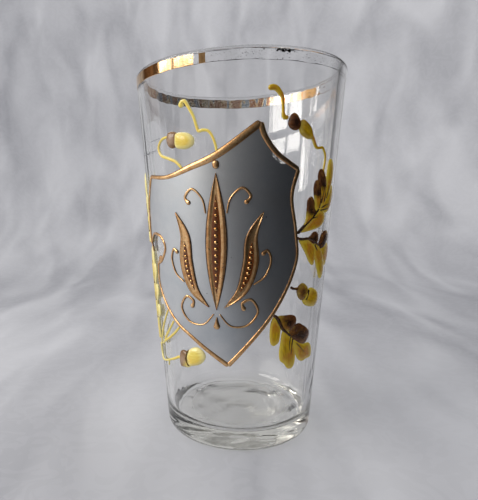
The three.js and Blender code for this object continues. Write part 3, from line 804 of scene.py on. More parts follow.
def raisedGildingMaterial(look):
    # Dark in the pits, and at the foot, where across plus a little of the blotches passes 0.82.
    material, tree = newMaterial("raisedGilding")
    place = addNode(tree, "TexCoord")["Object"]
    across = addNode(tree, "Attribute", attribute_name="across")["Fac"]
    across = addNode(tree, "Math", {0: across}, operation="ABSOLUTE")[0]
    broad = {"Vector": place, "Scale": scaleOf(look["blotch"]), "Detail": 3.0, "Roughness": 0.6}
    blotch = addNode(tree, "TexNoise", broad)[0]
    fine = addNode(tree, "TexNoise", {"Vector": place, "Scale": scaleOf(look["grain"]), "Roughness": 0.6})[0]
    foot = addNode(tree, "Math", {0: blotch, 1: 0.5}, operation="SUBTRACT")[0]
    foot = addNode(tree, "Math", {0: foot, 1: 0.16, 2: across}, operation="MULTIPLY_ADD")[0]
    foot = addNode(tree, "ValToRGB", {"Fac": foot}, [(0.82, 0.0), (0.92, 1.0)])[0]
    pits = addNode(tree, "TexVoronoi", {"Vector": place, "Scale": scaleOf(look["pitSize"])})["Distance"]
    pits = addNode(tree, "ValToRGB", {"Fac": pits}, [(0.14, 1.0), (0.22, 0.0)])[0]
    region = addNode(tree, "TexNoise", {"Vector": place, "Scale": scaleOf(look["pitted"])})[0]
    region = addNode(tree, "ValToRGB", {"Fac": region}, [(0.44, 0.0), (0.54, 1.0)])[0]
    pitted = addNode(tree, "Math", {0: pits, 1: region}, operation="MULTIPLY")[0]
    # darker at the foot of the line and in its pits
    darkFootAndPits = addNode(tree, "Math", {0: foot, 1: pitted}, operation="MAXIMUM")[0]
    patchy = addNode(tree, "ValToRGB", {"Fac": blotch}, [(0.3, 0.0), (0.75, 0.8)])[0]
    beside = addNode(tree, "ValToRGB", {"Fac": across}, [(0.4, 0.0), (0.9, 0.55)])[0]
    colour = look["gold"]
    for share, over in ((patchy, look["deep"]), (beside, look["deep"]), (darkFootAndPits, look["foot"])):
        colour = addNode(tree, "Mix", {0: share, 6: colour, 7: over}, data_type="RGBA")[2]
    shine = {0: blotch, 1: 0.2, 2: look["roughness"] - 0.06}
    height = addNode(tree, "Math", {0: pitted, 1: -0.5, 2: blotch}, operation="MULTIPLY_ADD")[0]
    height = addNode(tree, "Math", {0: fine, 1: 0.5, 2: height}, operation="MULTIPLY_ADD")[0]
    surface = addNode(tree, "BsdfPrincipled", {
        "Base Color": colour,
        "Metallic": addNode(tree, "Math", {0: 1.0, 1: darkFootAndPits}, operation="SUBTRACT")[0],
        "Roughness": addNode(tree, "Math", shine, operation="MULTIPLY_ADD")[0],
        "Normal": addNode(tree, "Bump", {"Height": height, "Distance": 0.1 * mm, "Strength": 1.0})["Normal"],
    })[0]
    addNode(tree, "OutputMaterial", {"Surface": surface})
    return material


raisedGilding = raisedGildingMaterial(raisedGildingLook)
borderRise = 0.95
notchCurls = [  # the loose ends of the gilt line, curled round the notch at the left
    ([(-41.6, 94.1), (-45.4, 93.5), (-48.3, 91.4), (-49.6, 88.6), (-48.7, 85.4)], (0.7, 0.6, 0.6, 0.85)),
    ([(-41.4, 82.0), (-39.8, 83.4), (-38.4, 84.2)], (0.8, 1.05, 1.2)),
]


def borderParts():  # strokes along the runs, each carried on a little past its corners, and the two curls
    parts = []
    for run, widths in shieldRuns:
        path = smoothLine(run, 0.2)
        start = path[:1] - (path[1] - path[0]) * 1.5
        end = path[-1:] + (path[-1] - path[-2]) * 1.5
        path = np.concatenate([start, path, end])
        parts.append(stroke(path, tapered(path, *widths), borderRise, sections=14))
    for curl, widths in notchCurls:
        path = smoothLine(curl, 0.16)
        parts.append(stroke(path, tapered(path, *widths), borderRise * 0.6, sections=12))
    return parts


addPiece("shield_border_gilding", borderParts(), [raisedGilding], ["shield_border"])
print("stage: shield border")


# Ornament on the shield, the same on both sides of its middle line

ornament = {
    "middle": (-9.5, 90.0),
    "floor": 0.38,  # inside the enamel of the field
    "leafRise": 0.75,
    "panelRise": 0.5,
    "lineRise": 0.75,
    "bead": 0.78,
    "centreLeaf": 4.3,  # half widths of the leaves
    "sideLeaf": 3.1,
    "centrePanel": (2.9, 14),  # half widths of the panels, and how many beads lie on each
    "sidePanel": (1.95, 9),
    "panelLight": "#8C4C14",
    "panelDark": "#442008",
    "beadGold": "#F0C488",
    "beadShade": "#C88F4C",
    "panelBlotch": 1.8,
    "beadPatch": 0.7,
}
ornamentLines = {
    "centreLeaf": [(0, -25), (0, 0), (0, 27)],
    "centrePanel": [(0, -18.5), (0, 0), (0, 19.5)],
    "leaf": [(3, -24), (9.6, -17), (12.8, -6.5), (13.2, 4), (17.4, 13)],
    "panel": [(9, -17.6), (11.8, -10.5), (12.9, -3.5), (13.2, 2)],
    "scroll": [
        (1.2, -26.7), (5.6, -31.4), (12, -30.9), (15.9, -25.6), (13.4, -20.6), (9.9, -22), (10.8, -25),
    ],
    "tendril": [(14, -14.6), (18.4, -11.4), (20.6, -5.6), (19.2, -1.6), (16.9, -3.2)],
    "curl": [(4, 12.5), (5.4, 18), (9.5, 21.6), (12.6, 18.6), (10.4, 16)],
    "drop": [(0, -28), (0, -33)],
    "finial": [(0, 28.5), (0, 31.5)],
}


def placed(points, side=1):  # from the ornament's own middle line to the glass; side -1 is the mirror image
    middle = ornament["middle"]
    return [(middle[0] + side * x, middle[1] + y) for x, y in points]


def lens(path, half):  # half widths of a form pointed at both ends: half * sin(pi * share)^0.9
    way = lengths(path)
    return np.maximum(0.12, half * np.clip(np.sin(np.pi * way / way[-1]), 0, 1) ** 0.9)


def troughCrown(u):
    # a leaf with two raised edges and a shallow trough between them: a bell at 0.72 of the way to each
    # edge, on a low round crown
    edge = np.exp(-(((np.abs(u) - 0.72) / 0.2) ** 2))
    return 0.35 + 0.5 * edge + 0.15 * np.sqrt(1 - u**2)


def gildedLeafPart(through, half, side=1):  # a pointed stroke with a trough in it
    path = smoothLine(placed(through, side), 0.2)
    return stroke(path, lens(path, half), ornament["leafRise"], ornament["floor"], troughCrown, sections=18)


def panelPart(through, half, side=1):  # a pointed stroke of brown enamel that fills the trough
    path = smoothLine(placed(through, side), 0.2)
    return stroke(path, lens(path, half), ornament["panelRise"], ornament["floor"], sections=12)


def beadParts(through, count, side=1):
    # Flattened half balls on the panel: radius * sin and cos of the two angles of a ball, round each
    # middle. A bead's size goes by the root of a sine along the row.
    path = smoothLine(placed(through, side), 0.2)
    at = np.linspace(0, len(path) - 1, count + 2)[1:-1]
    middles = np.stack([np.interp(at, np.arange(len(path)), path[:, k]) for k in (0, 1)], -1)
    size = ornament["bead"] * np.sin(np.pi * (np.arange(count) + 1.2) / (count + 1.4)) ** 0.5
    rings, around, flattened = 7, 14, 0.85
    polar = np.linspace(0.12, np.pi * 0.55, rings)[:, None]
    turn = np.linspace(0, 2 * np.pi, around, endpoint=False)
    ball = [np.sin(polar) * np.cos(turn), np.sin(polar) * np.sin(turn), np.cos(polar) + 0 * turn]
    ball = np.stack(ball, -1)
    base = ornament["floor"] + ornament["panelRise"] * 0.8
    top, bottom, last = rings * around, rings * around + 1, (rings - 1) * around
    parts = []
    for middle, radius in zip(middles, size):
        points = (ball * radius * (1, 1, flattened) + (*middle, base)).reshape(-1, 3)
        poles = [[*middle, base + radius * flattened], [*middle, base - 0.2 * radius]]
        fans = [fanTriangles(top, 0, around, True), fanTriangles(bottom, last, around, False)]
        points = np.concatenate([points, poles])
        parts.append({
            "points": points,
            "quads": gridQuads(rings, around, closeColumns=True),
            "triangles": np.concatenate(fans),
            "map": points[:, :2],
            "fields": {},
        })
    return parts


def giltLinePart(through, widths, side=1):
    # a fine line that ends in a round drop of gold: a bell 0.9 mm before the end widens and raises it
    path = smoothLine(placed(through, side), 0.16)
    half = tapered(path, *widths)
    way = lengths(path)
    swell = np.exp(-(((way[-1] - way - 0.9) / 0.9) ** 2))
    rise = ornament["lineRise"] * (0.75 + 0.35 * swell)
    return stroke(path, half * (1 + 0.5 * swell), rise, ornament["floor"])


def brownPanelMaterial(o):
    # Transparent brown enamel over gold: dark and glossy, redder where it is thin, along its edges.
    material, tree = newMaterial("brownPanelEnamel")
    place = addNode(tree, "TexCoord")["Object"]
    across = addNode(tree, "Attribute", attribute_name="across")["Fac"]
    across = addNode(tree, "Math", {0: across}, operation="ABSOLUTE")[0]
    broad = {"Vector": place, "Scale": scaleOf(o["panelBlotch"]), "Detail": 3.0, "Roughness": 0.6}
    blotch = addNode(tree, "TexNoise", broad)[0]
    share = addNode(tree, "Math", {0: blotch, 1: 0.5}, operation="SUBTRACT")[0]
    share = addNode(tree, "Math", {0: share, 1: 0.9}, operation="MULTIPLY")[0]
    share = addNode(tree, "Math", {0: across, 1: 0.6, 2: share}, operation="MULTIPLY_ADD", use_clamp=True)[0]
    shades = {0: share, 6: o["panelDark"], 7: o["panelLight"]}
    surface = addNode(tree, "BsdfPrincipled", {
        "Base Color": addNode(tree, "Mix", shades, data_type="RGBA")[2],
        "Normal": addNode(tree, "Bump", {"Height": blotch, "Distance": 0.03 * mm, "Strength": 1.0})["Normal"],
        "Roughness": 0.22,
        "IOR": 1.5,
    })[0]
    addNode(tree, "OutputMaterial", {"Surface": surface})
    return material


def beadGoldMaterial(o):
    # Beads of raised paste under gold, burnished bright on top by handling.
    material, tree = newMaterial("burnishedGoldBeads")
    place = addNode(tree, "TexCoord")["Object"]
    patch = addNode(tree, "TexNoise", {"Vector": place, "Scale": scaleOf(o["beadPatch"])})[0]
    share = addNode(tree, "ValToRGB", {"Fac": patch}, [(0.35, 0.0), (0.7, 1.0)])[0]
    shades = {0: share, 6: o["beadGold"], 7: o["beadShade"]}
    surface = addNode(tree, "BsdfPrincipled", {
        "Base Color": addNode(tree, "Mix", shades, data_type="RGBA")[2],
        "Roughness": addNode(tree, "ValToRGB", {"Fac": patch}, [(0.3, 0.16), (0.7, 0.3)])[0],
        "Metallic": 1.0,
    })[0]
    addNode(tree, "OutputMaterial", {"Surface": surface})
    return material


brownPanel, beadGold = brownPanelMaterial(ornament), beadGoldMaterial(ornament)


def addGilt(node, part):  # one gilt form, in place of its CAD node
    addPiece(f"{node}_gilding", [part], [raisedGilding], [node])


def addPanel(node, through, half, beads, side=1):  # the enamel, and its row of beads as a piece of its own
    addPiece(f"{node}_enamel", [panelPart(through, half, side)], [brownPanel], [node])
    addPiece(f"{node}_beads", beadParts(through, beads, side), [beadGold], [])


def addOrnament(o, lines):
    # each form of a side is drawn once, to the right of the middle line, and mirrored for the left
    addGilt("ornament_centre_leaf", gildedLeafPart(lines["centreLeaf"], o["centreLeaf"]))
    addPanel("ornament_centre_panel", lines["centrePanel"], *o["centrePanel"])
    for name, side in (("left", -1), ("right", 1)):
        addGilt(f"ornament_leaf_{name}", gildedLeafPart(lines["leaf"], o["sideLeaf"], side))
        addPanel(f"ornament_panel_{name}", lines["panel"], *o["sidePanel"], side)
        for kind, widths in (("scroll", (0.3, 0.6)), ("tendril", (0.3, 0.55)), ("curl", (0.3, 0.6))):
            addGilt(f"ornament_{kind}_{name}", giltLinePart(lines[kind], widths, side))
    path = smoothLine(placed(lines["drop"]), 0.12)
    dropHalf = tapered(path, 0.25, 0.45, 0.85, 1.3, 1.35)
    addGilt("ornament_drop", stroke(path, dropHalf, 1.0, o["floor"], sections=14))
    path = smoothLine(placed(lines["finial"]), 0.12)
    addGilt("ornament_finial", stroke(path, 1.2, 0.9, o["floor"], sections=14))


addOrnament(ornament, ornamentLines)
print("stage: ornament")


# Oak leaves, acorns and tendrils in raised enamel

# Glossy raised enamel, laid wet with a loaded brush: thick and rounded, lighter where it is thin, with
# faint streaks along the stroke. tone runs from the yellow (0) to the brown (1). The right-hand colours are
# the same enamels painted darker, the yellow as olive: painted shade for the side turned away from the
# window.
enamelLooks = {
    "left": {
        "light": "#F5EDB0", "main": "#E8D870", "dark": "#C8AC40", "warm": "#DFC054",
        "brown": "#86603A", "brownDark": "#4E3620", "brownLight": "#A68A6C", "brownMiddle": "#9E8670",
        "vein": "#54401A",
    },
    # painted shade: the same enamels as on the left, darker, with near black brown middles
    "right": {
        "light": "#CDBA42", "main": "#B8960E", "dark": "#8A6A08", "warm": "#A26A14",
        "brown": "#663C1C", "brownDark": "#2C160A", "brownLight": "#845A24", "brownMiddle": "#1C0D08",
        "vein": "#140A04",
    },
}
enamelLine = {
    "rise": 0.8,
    "cupRise": 1.6,
    "nutRise": 2.1,
    "leafRise": 0.85,
    "veinRise": 0.16,
    "streak": 0.7,  # sizes of its patterns
    "blotch": 2.6,
    "slow": 5.0,
    "veinBlotch": 1.0,
}


def raisedEnamelMaterial(name, look):
    # Three shades over the yellow, painted olive as shade on the right, and three over the brown; tone plus a
    # little of the blotches says which of the two shows.
    material, tree = newMaterial(name)
    place = addNode(tree, "TexCoord")["Object"]
    own = addNode(tree, "UVMap", uv_map="surface")[0]
    along = addNode(tree, "Mapping", {"Vector": own, "Scale": (1, 0.14, 1)})[0]
    across = addNode(tree, "Attribute", attribute_name="across")["Fac"]
    across = addNode(tree, "Math", {0: across}, operation="ABSOLUTE")[0]
    tone = addNode(tree, "Attribute", attribute_name="tone")["Fac"]
    brushed = {"Vector": along, "Scale": scaleOf(enamelLine["streak"]), "Detail": 3.0, "Roughness": 0.6}
    streak = addNode(tree, "TexNoise", brushed)[0]
    broad = {"Vector": place, "Scale": scaleOf(enamelLine["blotch"]), "Detail": 3.0, "Roughness": 0.6}
    blotch = addNode(tree, "TexNoise", broad)[0]
    slow = addNode(tree, "TexNoise", {"Vector": place, "Scale": scaleOf(enamelLine["slow"])})[0]
    green, brown = look["main"], look["brown"]
    for source, stops, over in (
        (streak, [(0.35, 0.0), (0.7, 1.0)], "dark"),
        (slow, [(0.43, 0.0), (0.62, 0.9)], "warm"),
        (across, [(0.55, 0.0), (0.97, 0.75)], "light"),
    ):
        share = addNode(tree, "ValToRGB", {"Fac": source}, stops)[0]
        green = addNode(tree, "Mix", {0: share, 6: green, 7: look[over]}, data_type="RGBA")[2]
    for source, stops, over in (
        (streak, [(0.35, 0.0), (0.75, 1.0)], "brownDark"),
        (blotch, [(0.48, 0.0), (0.68, 0.85)], "brownLight"),
        (across, [(0.25, 0.85), (0.85, 0.0)], "brownMiddle"),
    ):
        share = addNode(tree, "ValToRGB", {"Fac": source}, stops)[0]
        brown = addNode(tree, "Mix", {0: share, 6: brown, 7: look[over]}, data_type="RGBA")[2]
    wander = addNode(tree, "Math", {0: blotch, 1: 0.5}, operation="SUBTRACT")[0]
    wander = addNode(tree, "Math", {0: wander, 1: 0.5, 2: tone}, operation="MULTIPLY_ADD")[0]
    share = addNode(tree, "ValToRGB", {"Fac": wander}, [(0.36, 0.0), (0.64, 1.0)])[0]
    uneven = addNode(tree, "Math", {0: streak, 1: 0.4, 2: blotch}, operation="MULTIPLY_ADD")[0]
    surface = addNode(tree, "BsdfPrincipled", {
        "Base Color": addNode(tree, "Mix", {0: share, 6: green, 7: brown}, data_type="RGBA")[2],
        "Roughness": addNode(tree, "ValToRGB", {"Fac": slow}, [(0.3, 0.16), (0.7, 0.3)])[0],
        "Normal": addNode(tree, "Bump", {"Height": uneven, "Distance": 0.07 * mm, "Strength": 1.0})["Normal"],
        "IOR": 1.5,
    })[0]
    addNode(tree, "OutputMaterial", {"Surface": surface})
    return material


def veinMaterial(name, look):
    # Thin dark lines drawn on the leaf with a pen before the last firing.
    material, tree = newMaterial(name)
    place = addNode(tree, "TexCoord")["Object"]
    blotch = addNode(tree, "TexNoise", {"Vector": place, "Scale": scaleOf(enamelLine["veinBlotch"])})[0]
    share = addNode(tree, "ValToRGB", {"Fac": blotch}, [(0.4, 0.0), (0.7, 0.6)])[0]
    colour = addNode(tree, "Mix", {0: share, 6: look["vein"], 7: look["brown"]}, data_type="RGBA")[2]
    surface = addNode(tree, "BsdfPrincipled", {"Base Color": colour, "Roughness": 0.3})[0]
    addNode(tree, "OutputMaterial", {"Surface": surface})
    return material


raisedEnamel, veinEnamel = {}, {}
for side, look in enamelLooks.items():
    raisedEnamel[side] = raisedEnamelMaterial(f"raisedEnamel{side.title()}", look)
    veinEnamel[side] = veinMaterial(f"veinEnamel{side.title()}", look)


def stemPart(through, widths, tone=0.0, knob=1.0):
    # a stroke along the line; a bell near its start makes it knob times as wide there
    path = smoothLine(through, 0.18)
    way = lengths(path)
    swell = np.exp(-(((way - 0.8) / 0.8) ** 2))
    half = tapered(path, *widths) * (1 + (knob - 1) * swell)
    return stroke(path, half, enamelLine["rise"] * np.clip(half / 0.6, 0.7, 1.3), tone=tone)


def lobeParts(outline, tones, veins):
    # A pad of enamel, and veins drawn over it: each vein is a line through the points given.
    rise = enamelLine["leafRise"]
    parts = [padPart(outline, rise, tones)]
    for vein in veins:
        path = smoothLine(vein, 0.18)
        width = tapered(path, 0.24, 0.32, 0.24, 0.12)
        parts.append(stroke(path, width, rise + enamelLine["veinRise"], sections=6, slot=1))
    return parts


def club(root, tip, half, tones=(0.0, 0.0), vein=0.6):  # a lobe with one vein, straight up its middle
    root, tip = np.array(root, float), np.array(tip, float)
    return clubOutline(root, tip, half), tones, [[root, root + (tip - root) * vein]]


# Each line runs through its points; the second row holds its half widths from start to end.
stemLines = {
    "acorn_top_left_stem": [(
        [(-29.6, 130.9), (-32.8, 130.6), (-35.1, 129), (-35.9, 127), (-34.2, 124.5), (-29.9, 123.1),
         (-26.2, 121.7), (-23.3, 119.2)],
        (0.5, 0.5, 0.55, 0.6, 0.5),
    )],
    "tendril_top_left": [(
        [(-23, 140.2), (-22.6, 142), (-21.2, 142.2), (-19.8, 140.2), (-17.9, 137), (-16.7, 133.6),
         (-15.9, 131.8), (-14.3, 132), (-12.3, 131.6), (-10.8, 129.8), (-9.6, 126.8), (-9.2, 124.4)],
        (0.75, 0.6, 0.55, 0.6, 0.5, 0.5),
    )],
    "acorn_bottom_left_stem": [
        (
            [(-27.2, 41.5), (-29.1, 41.2), (-31, 40.1), (-34.6, 38.5), (-41, 35.9), (-46.4, 34.9),
             (-49.2, 37.4), (-48.4, 42.6)],
            (0.7, 0.6, 0.5, 0.5, 0.5, 0.6),
        ),
        ([(-37, 37.3), (-37.4, 35.8), (-37.6, 34.6)], (0.3, 0.2)),
    ],
    "left_forked_stem": [
        ([(-27.6, 55.2), (-31.1, 51.7), (-35.4, 48.5), (-40.6, 45.4), (-44.5, 43.2)],
            (0.5, 0.6, 0.6, 0.55)),
        ([(-31.3, 57.2), (-35, 52.4), (-38.6, 48.4), (-40.8, 45)], (0.45, 0.55, 0.6)),
        ([(-35.4, 61.4), (-39.6, 55), (-43.4, 49), (-46.4, 43.5)], (0.42, 0.5, 0.5)),
    ],
    "tendril_top_right": [(
        [(8.7, 144.5), (10.1, 145), (11.6, 144.7), (12.8, 143.5), (13.8, 142.1), (14.2, 140.3),
         (14.3, 138.3), (14.4, 136.5), (15, 135.4), (16.4, 135.6)],
        (0.9, 1.0, 0.95, 0.8, 0.6, 0.5, 0.5, 0.8, 0.7),
    )],
    "acorn_top_right_tail": [(
        [(26.4, 129.6), (27.6, 129), (28.9, 127), (29.8, 125.9), (31.5, 125.6), (33.6, 125.9),
         (34.9, 124.9), (36, 123.2), (36.2, 121.2), (35.7, 119), (35.2, 116.8)],
        (0.7, 0.6, 0.5, 0.45, 0.4, 0.35),
    )],
    "acorn_right_stem": [([(20.2, 73.4), (21.6, 72.5), (24.2, 72.2)], (0.6, 0.5, 0.6))],
}
# Outlines of cup and nut, and their tones; the mouth is the dark line between them, where it shows.
acorns = {
    "acorn_top_left": {
        "cup": [
            (-30.4, 130), (-29.6, 132.2), (-27.6, 132.6), (-25.4, 131.9), (-24.8, 129.7), (-25.3, 127.5),
            (-27.6, 126.6), (-29.6, 127.6),
        ],
        "cupTones": (1.0, 0.62),
        "nut": [
            (-26.2, 129.6), (-25.7, 131.6), (-23.4, 132), (-20.4, 131.5), (-18.3, 130.1), (-17.7, 128.6),
            (-18.6, 126.8), (-21.6, 125.9), (-25, 126.4), (-26.1, 127.6),
        ],
        "nutTones": (0.0, 0.0),
        "mouth": [],
    },
    "acorn_bottom_left": {
        "cup": [
            (-27.9, 41.2), (-27.4, 44.2), (-26, 45.2), (-24.2, 45.1), (-23, 44.2), (-23, 41.8), (-22, 40),
            (-22, 38.5), (-23.4, 37.8), (-25.4, 37.6), (-27.3, 37.8),
        ],
        "cupTones": (0.95, 0.25),
        "nut": [
            (-23.7, 42.4), (-23.4, 44.6), (-22.5, 46), (-20.8, 47.3), (-18.6, 47.9), (-16.8, 47.5),
            (-15.2, 46.1), (-14.6, 44.1), (-15.6, 41.9), (-17.4, 40.4), (-19.8, 39.4), (-22, 38.9),
            (-22.9, 40.4),
        ],
        "nutTones": (0.0, 0.0),
        "mouth": [(-22.5, 46), (-23.1, 44.2), (-23.6, 42), (-23, 40.3), (-22.2, 39)],
    },
    "acorn_top_right": {
        "cup": [
            (16.4, 133.4), (16.7, 134.9), (17.4, 136.2), (18.7, 137), (20.1, 136.3), (21.1, 134.9),
            (21.6, 133.6), (21.3, 132.2), (20.1, 131.2), (18.4, 131.3), (16.9, 132.2),
        ],
        "cupTones": (0.95, 1.1),
        "nut": [
            (20.8, 132.6), (21.4, 134.2), (22.7, 135), (24.3, 134.2), (25.9, 132.8), (26.9, 131),
            (27.4, 128.9), (25.5, 128.4), (23.4, 129), (21.7, 130.3),
        ],
        "nutTones": (0.46, 0.44),
        "mouth": [],
    },
    "acorn_right": {
        "cup": [
            (23.3, 71.4), (24, 73), (25.6, 74.2), (27.4, 74), (29.4, 72), (28.9, 69.2), (27, 67.1),
            (24.6, 68.2),
        ],
        "cupTones": (0.6, 0.5),
        "nut": [
            (26.6, 68.2), (28.9, 70.9), (32.4, 71.6), (36.2, 69.6), (37, 66), (34.8, 63.4), (30.2, 64),
            (27.4, 65.8),
        ],
        "nutTones": (0.38, 0.3),
        "mouth": [(27.6, 67.2), (28.6, 69), (29.2, 71.4)],
    },
}
# The rib has points and half widths. Each lobe is an outline, its tones from root to tip, and its veins.
leaves = {
    "leaf_lower_left": {
        "rib": ([(-48.5, 44.5), (-50.5, 53), (-52, 64), (-52.6, 80)], (0.5, 0.6, 0.5)),
        "lobes": [
            club((-50.6, 54), (-45.8, 61), 2.7),
            club((-51.8, 62), (-46.8, 70.5), 2.9),
            club((-52.3, 70), (-47.6, 80), 2.9),
            club((-52.4, 72), (-53, 87.5), 3.3),
            club((-50.6, 54), (-58, 60.5), 3.1, (0.2, 0.9)),
            club((-51.8, 62), (-60, 70.5), 3.3, (0.1, 0.8)),
            club((-52.3, 70), (-59.6, 80.5), 3.2, (0, 0.7)),
        ],
    },
    "leaf_upper_left": {
        "rib": ([(-54.6, 89), (-58, 95), (-61, 102), (-63, 112)], (0.5, 0.6, 0.5)),
        "lobes": [
            club((-57, 93.6), (-53, 102), 2.8),
            club((-60, 100), (-56, 110.5), 3.0, (0, 0.4)),
            club((-62, 104), (-61.6, 119.5), 3.2),
            club((-57, 94), (-64.6, 96.6), 2.9, (0.2, 0.9)),
            club((-60, 100), (-68.6, 104.4), 3.1, (0.1, 0.8)),
            club((-62, 106), (-69.2, 113.5), 3.0, (0, 0.7)),
        ],
    },
    "leaf_upper_right": {
        "rib": ([(22.2, 94.2), (25.9, 97.3), (29.5, 99.9), (33.4, 103.2)], (0.6, 0.45, 0.4, 0.3)),
        "lobes": [
            (
                [(24.3, 95.6), (26.2, 99), (26.6, 103.7), (26.8, 106.6), (28.8, 108), (30.5, 106.6),
                 (31.2, 103.6), (32.8, 101.4), (28.6, 97.8)],
                (-0.2, 1.25),
                [],
            ),
            (
                [(31.9, 101.9), (30.8, 106.5), (29.9, 110.4), (30.3, 113), (31.9, 114.1), (33.9, 112.4),
                 (35.2, 109), (35, 103.2)],
                (-0.4, 1.5),
                [[(33.4, 103.4), (34, 106.4), (33.6, 109.6)]],
            ),
            (
                [(36, 102.6), (33.9, 108), (32.8, 112.2), (32.1, 115.8), (33, 117.8), (34.6, 118.2),
                 (36.5, 117), (38.1, 114.4), (39.2, 109.1), (38.6, 104.4)],
                (-0.6, 1.55),
                [[(34.6, 105.2), (35.8, 109.4), (35.9, 113)], [(36.8, 105.8), (37.4, 109.6)]],
            ),
            (
                [(36.7, 104.9), (38.1, 111.6), (38.7, 117), (39.5, 120.9), (41.5, 122.2), (43.9, 121),
                 (44.8, 117.5), (43.9, 113), (41.9, 108.4), (39.6, 104.8)],
                (0.1, 0.15),
                [[(38.4, 107), (40.2, 112)]],
            ),
            (
                [(34.1, 103), (37.6, 106.9), (41.3, 110.6), (44.7, 112.3), (46.5, 109.4), (45.8, 106.2),
                 (43.9, 103.2), (40.4, 101.4), (36.3, 101.7)],
                (0.05, 0.2),
                [[(35.2, 103.6), (38.6, 104.6), (41.4, 105)],
                 [(34.6, 102.6), (38.2, 102.9), (41.4, 103.3)]],
            ),
            (
                [(24.2, 94.9), (29.1, 99.4), (33.1, 103.2), (37, 102.9), (39.5, 100.6), (38.8, 98.1),
                 (36, 96.2), (31, 95.2), (26.1, 94.6)],
                (0.0, 0.15),
                [[(29.4, 99.7), (32.9, 100.2)], [(29.5, 99.6), (30.6, 102)]],
            ),
        ],
    },
    "leaf_middle_right": {
        "rib": ([(22, 92.6), (24.5, 92), (28.7, 91.9), (31.8, 90.6), (35.4, 88.6)],
            (0.6, 0.5, 0.55, 0.5, 0.4)),
        "lobes": [
            (
                [(28, 91.5), (29.8, 93.2), (31.8, 94.4), (33.7, 94.2), (34.8, 92.7), (34.9, 90.5),
                 (32.3, 89.3), (29.6, 90)],
                (0.8, 1.2),
                [],
            ),
            (
                [(35, 87.2), (36, 90), (37.8, 93), (40.4, 94.2), (44, 93.9), (45.5, 91.2), (43, 88.7),
                 (38.9, 86.4)],
                (0.9, 0.55),
                [[(35.4, 88.4), (38.4, 90), (41, 92)]],
            ),
            (
                [(23.3, 91.6), (26.6, 92), (30.3, 90.7), (33.1, 87.2), (33.2, 83.6), (32.4, 80.9),
                 (29.8, 82.3), (27.1, 86.1), (24.5, 89.6)],
                (0.0, 0.0),
                [],
            ),
            (
                [(31.4, 90.3), (35.6, 89), (39.6, 85.9), (42, 81.7), (42.7, 77.4), (41.2, 74.5),
                 (38.5, 74.8), (36, 78.5), (33.6, 83), (31.4, 86.6)],
                (0.3, 0.0),
                [[(32, 89.4), (34, 86.6)]],
            ),
            (
                [(36.4, 88), (41.9, 89.2), (46.6, 88.3), (47.6, 84.6), (46.4, 81.1), (43.6, 79.3),
                 (40, 81.6), (37.4, 85)],
                (0.3, 0.1),
                [],
            ),
        ],
    },
    "leaf_lower_right": {
        "rib": ([(13, 62.4), (14.7, 61), (17, 56.6), (20.9, 52.8)], (0.6, 0.75, 0.6, 0.4)),
        "lobes": [
            (
                [(13.4, 61.8), (15, 59.2), (16.2, 56.6), (16.1, 53.4), (15.5, 50.7), (13.5, 49.4),
                 (12.1, 50.5), (11.5, 54), (11.7, 58.3), (12.4, 60.8)],
                (0.0, 0.0),
                [],
            ),
            (
                [(16.2, 56.4), (14.6, 61.5), (18.2, 61.9), (21.9, 61.6), (23.6, 60.4), (24, 58.4),
                 (22.9, 56.6), (20.9, 54.8), (18.7, 54.7)],
                (0.35, 1.0),
                [],
            ),
            (
                [(19.7, 53), (21, 56), (23.2, 57.2), (25.7, 57.5), (28, 56.3), (30.6, 54.7), (32.8, 52.5),
                 (32.6, 50.3), (31, 48.3), (28.3, 47.5), (25, 48.7), (22, 50.9)],
                (0.55, 1.1),
                [[(21.4, 52.7), (24.4, 52.9), (27.3, 52.1), (29.1, 51)]],
            ),
            (
                [(18.4, 56.2), (21.6, 53), (23.2, 49.1), (24.2, 44.4), (24, 40.3), (22.6, 38.3),
                 (20.3, 38.5), (18.4, 40.9), (16.5, 42.6), (15.9, 46.2), (16.4, 50.5), (16.9, 54.6)],
                (0.05, 0.1),
                [[(20.9, 52.6), (20.4, 50), (20.6, 46.6)], [(22, 51.4), (21.6, 48), (21.3, 44.7)]],
            ),
            (
                [(22, 51.6), (25.6, 49.4), (29, 47.9), (33.4, 47.1), (36.1, 43.7), (35.6, 40.3),
                 (31.7, 40.2), (28.6, 39.9), (25.7, 41.8), (23.9, 45.4), (22.3, 49)],
                (0.3, 0.1),
                [[(24.1, 49.3), (26.6, 46.8), (29.4, 44)]],
            ),
        ],
    },
}


def addStem(name, side, tone=0.0, knob=1.0):  # one stroke for each line of the stem
    parts = [stemPart(points, widths, tone, knob) for points, widths in stemLines[name]]
    addPiece(f"{name}_enamel", parts, [raisedEnamel[side]], [name])


def addLeaf(name, side, ribSlot):
    # the rib first, then each lobe with its veins; ribSlot is 1 where the rib is drawn in the vein's colour
    points, widths = leaves[name]["rib"]
    rib = smoothLine(points, 0.18)
    parts = [stroke(rib, tapered(rib, *widths), enamelLine["leafRise"] * 1.25, slot=ribSlot)]
    for outline, tones, veins in leaves[name]["lobes"]:
        parts += lobeParts(outline, tones, veins)
    addPiece(f"{name}_enamel", parts, [raisedEnamel[side], veinEnamel[side]], [name])


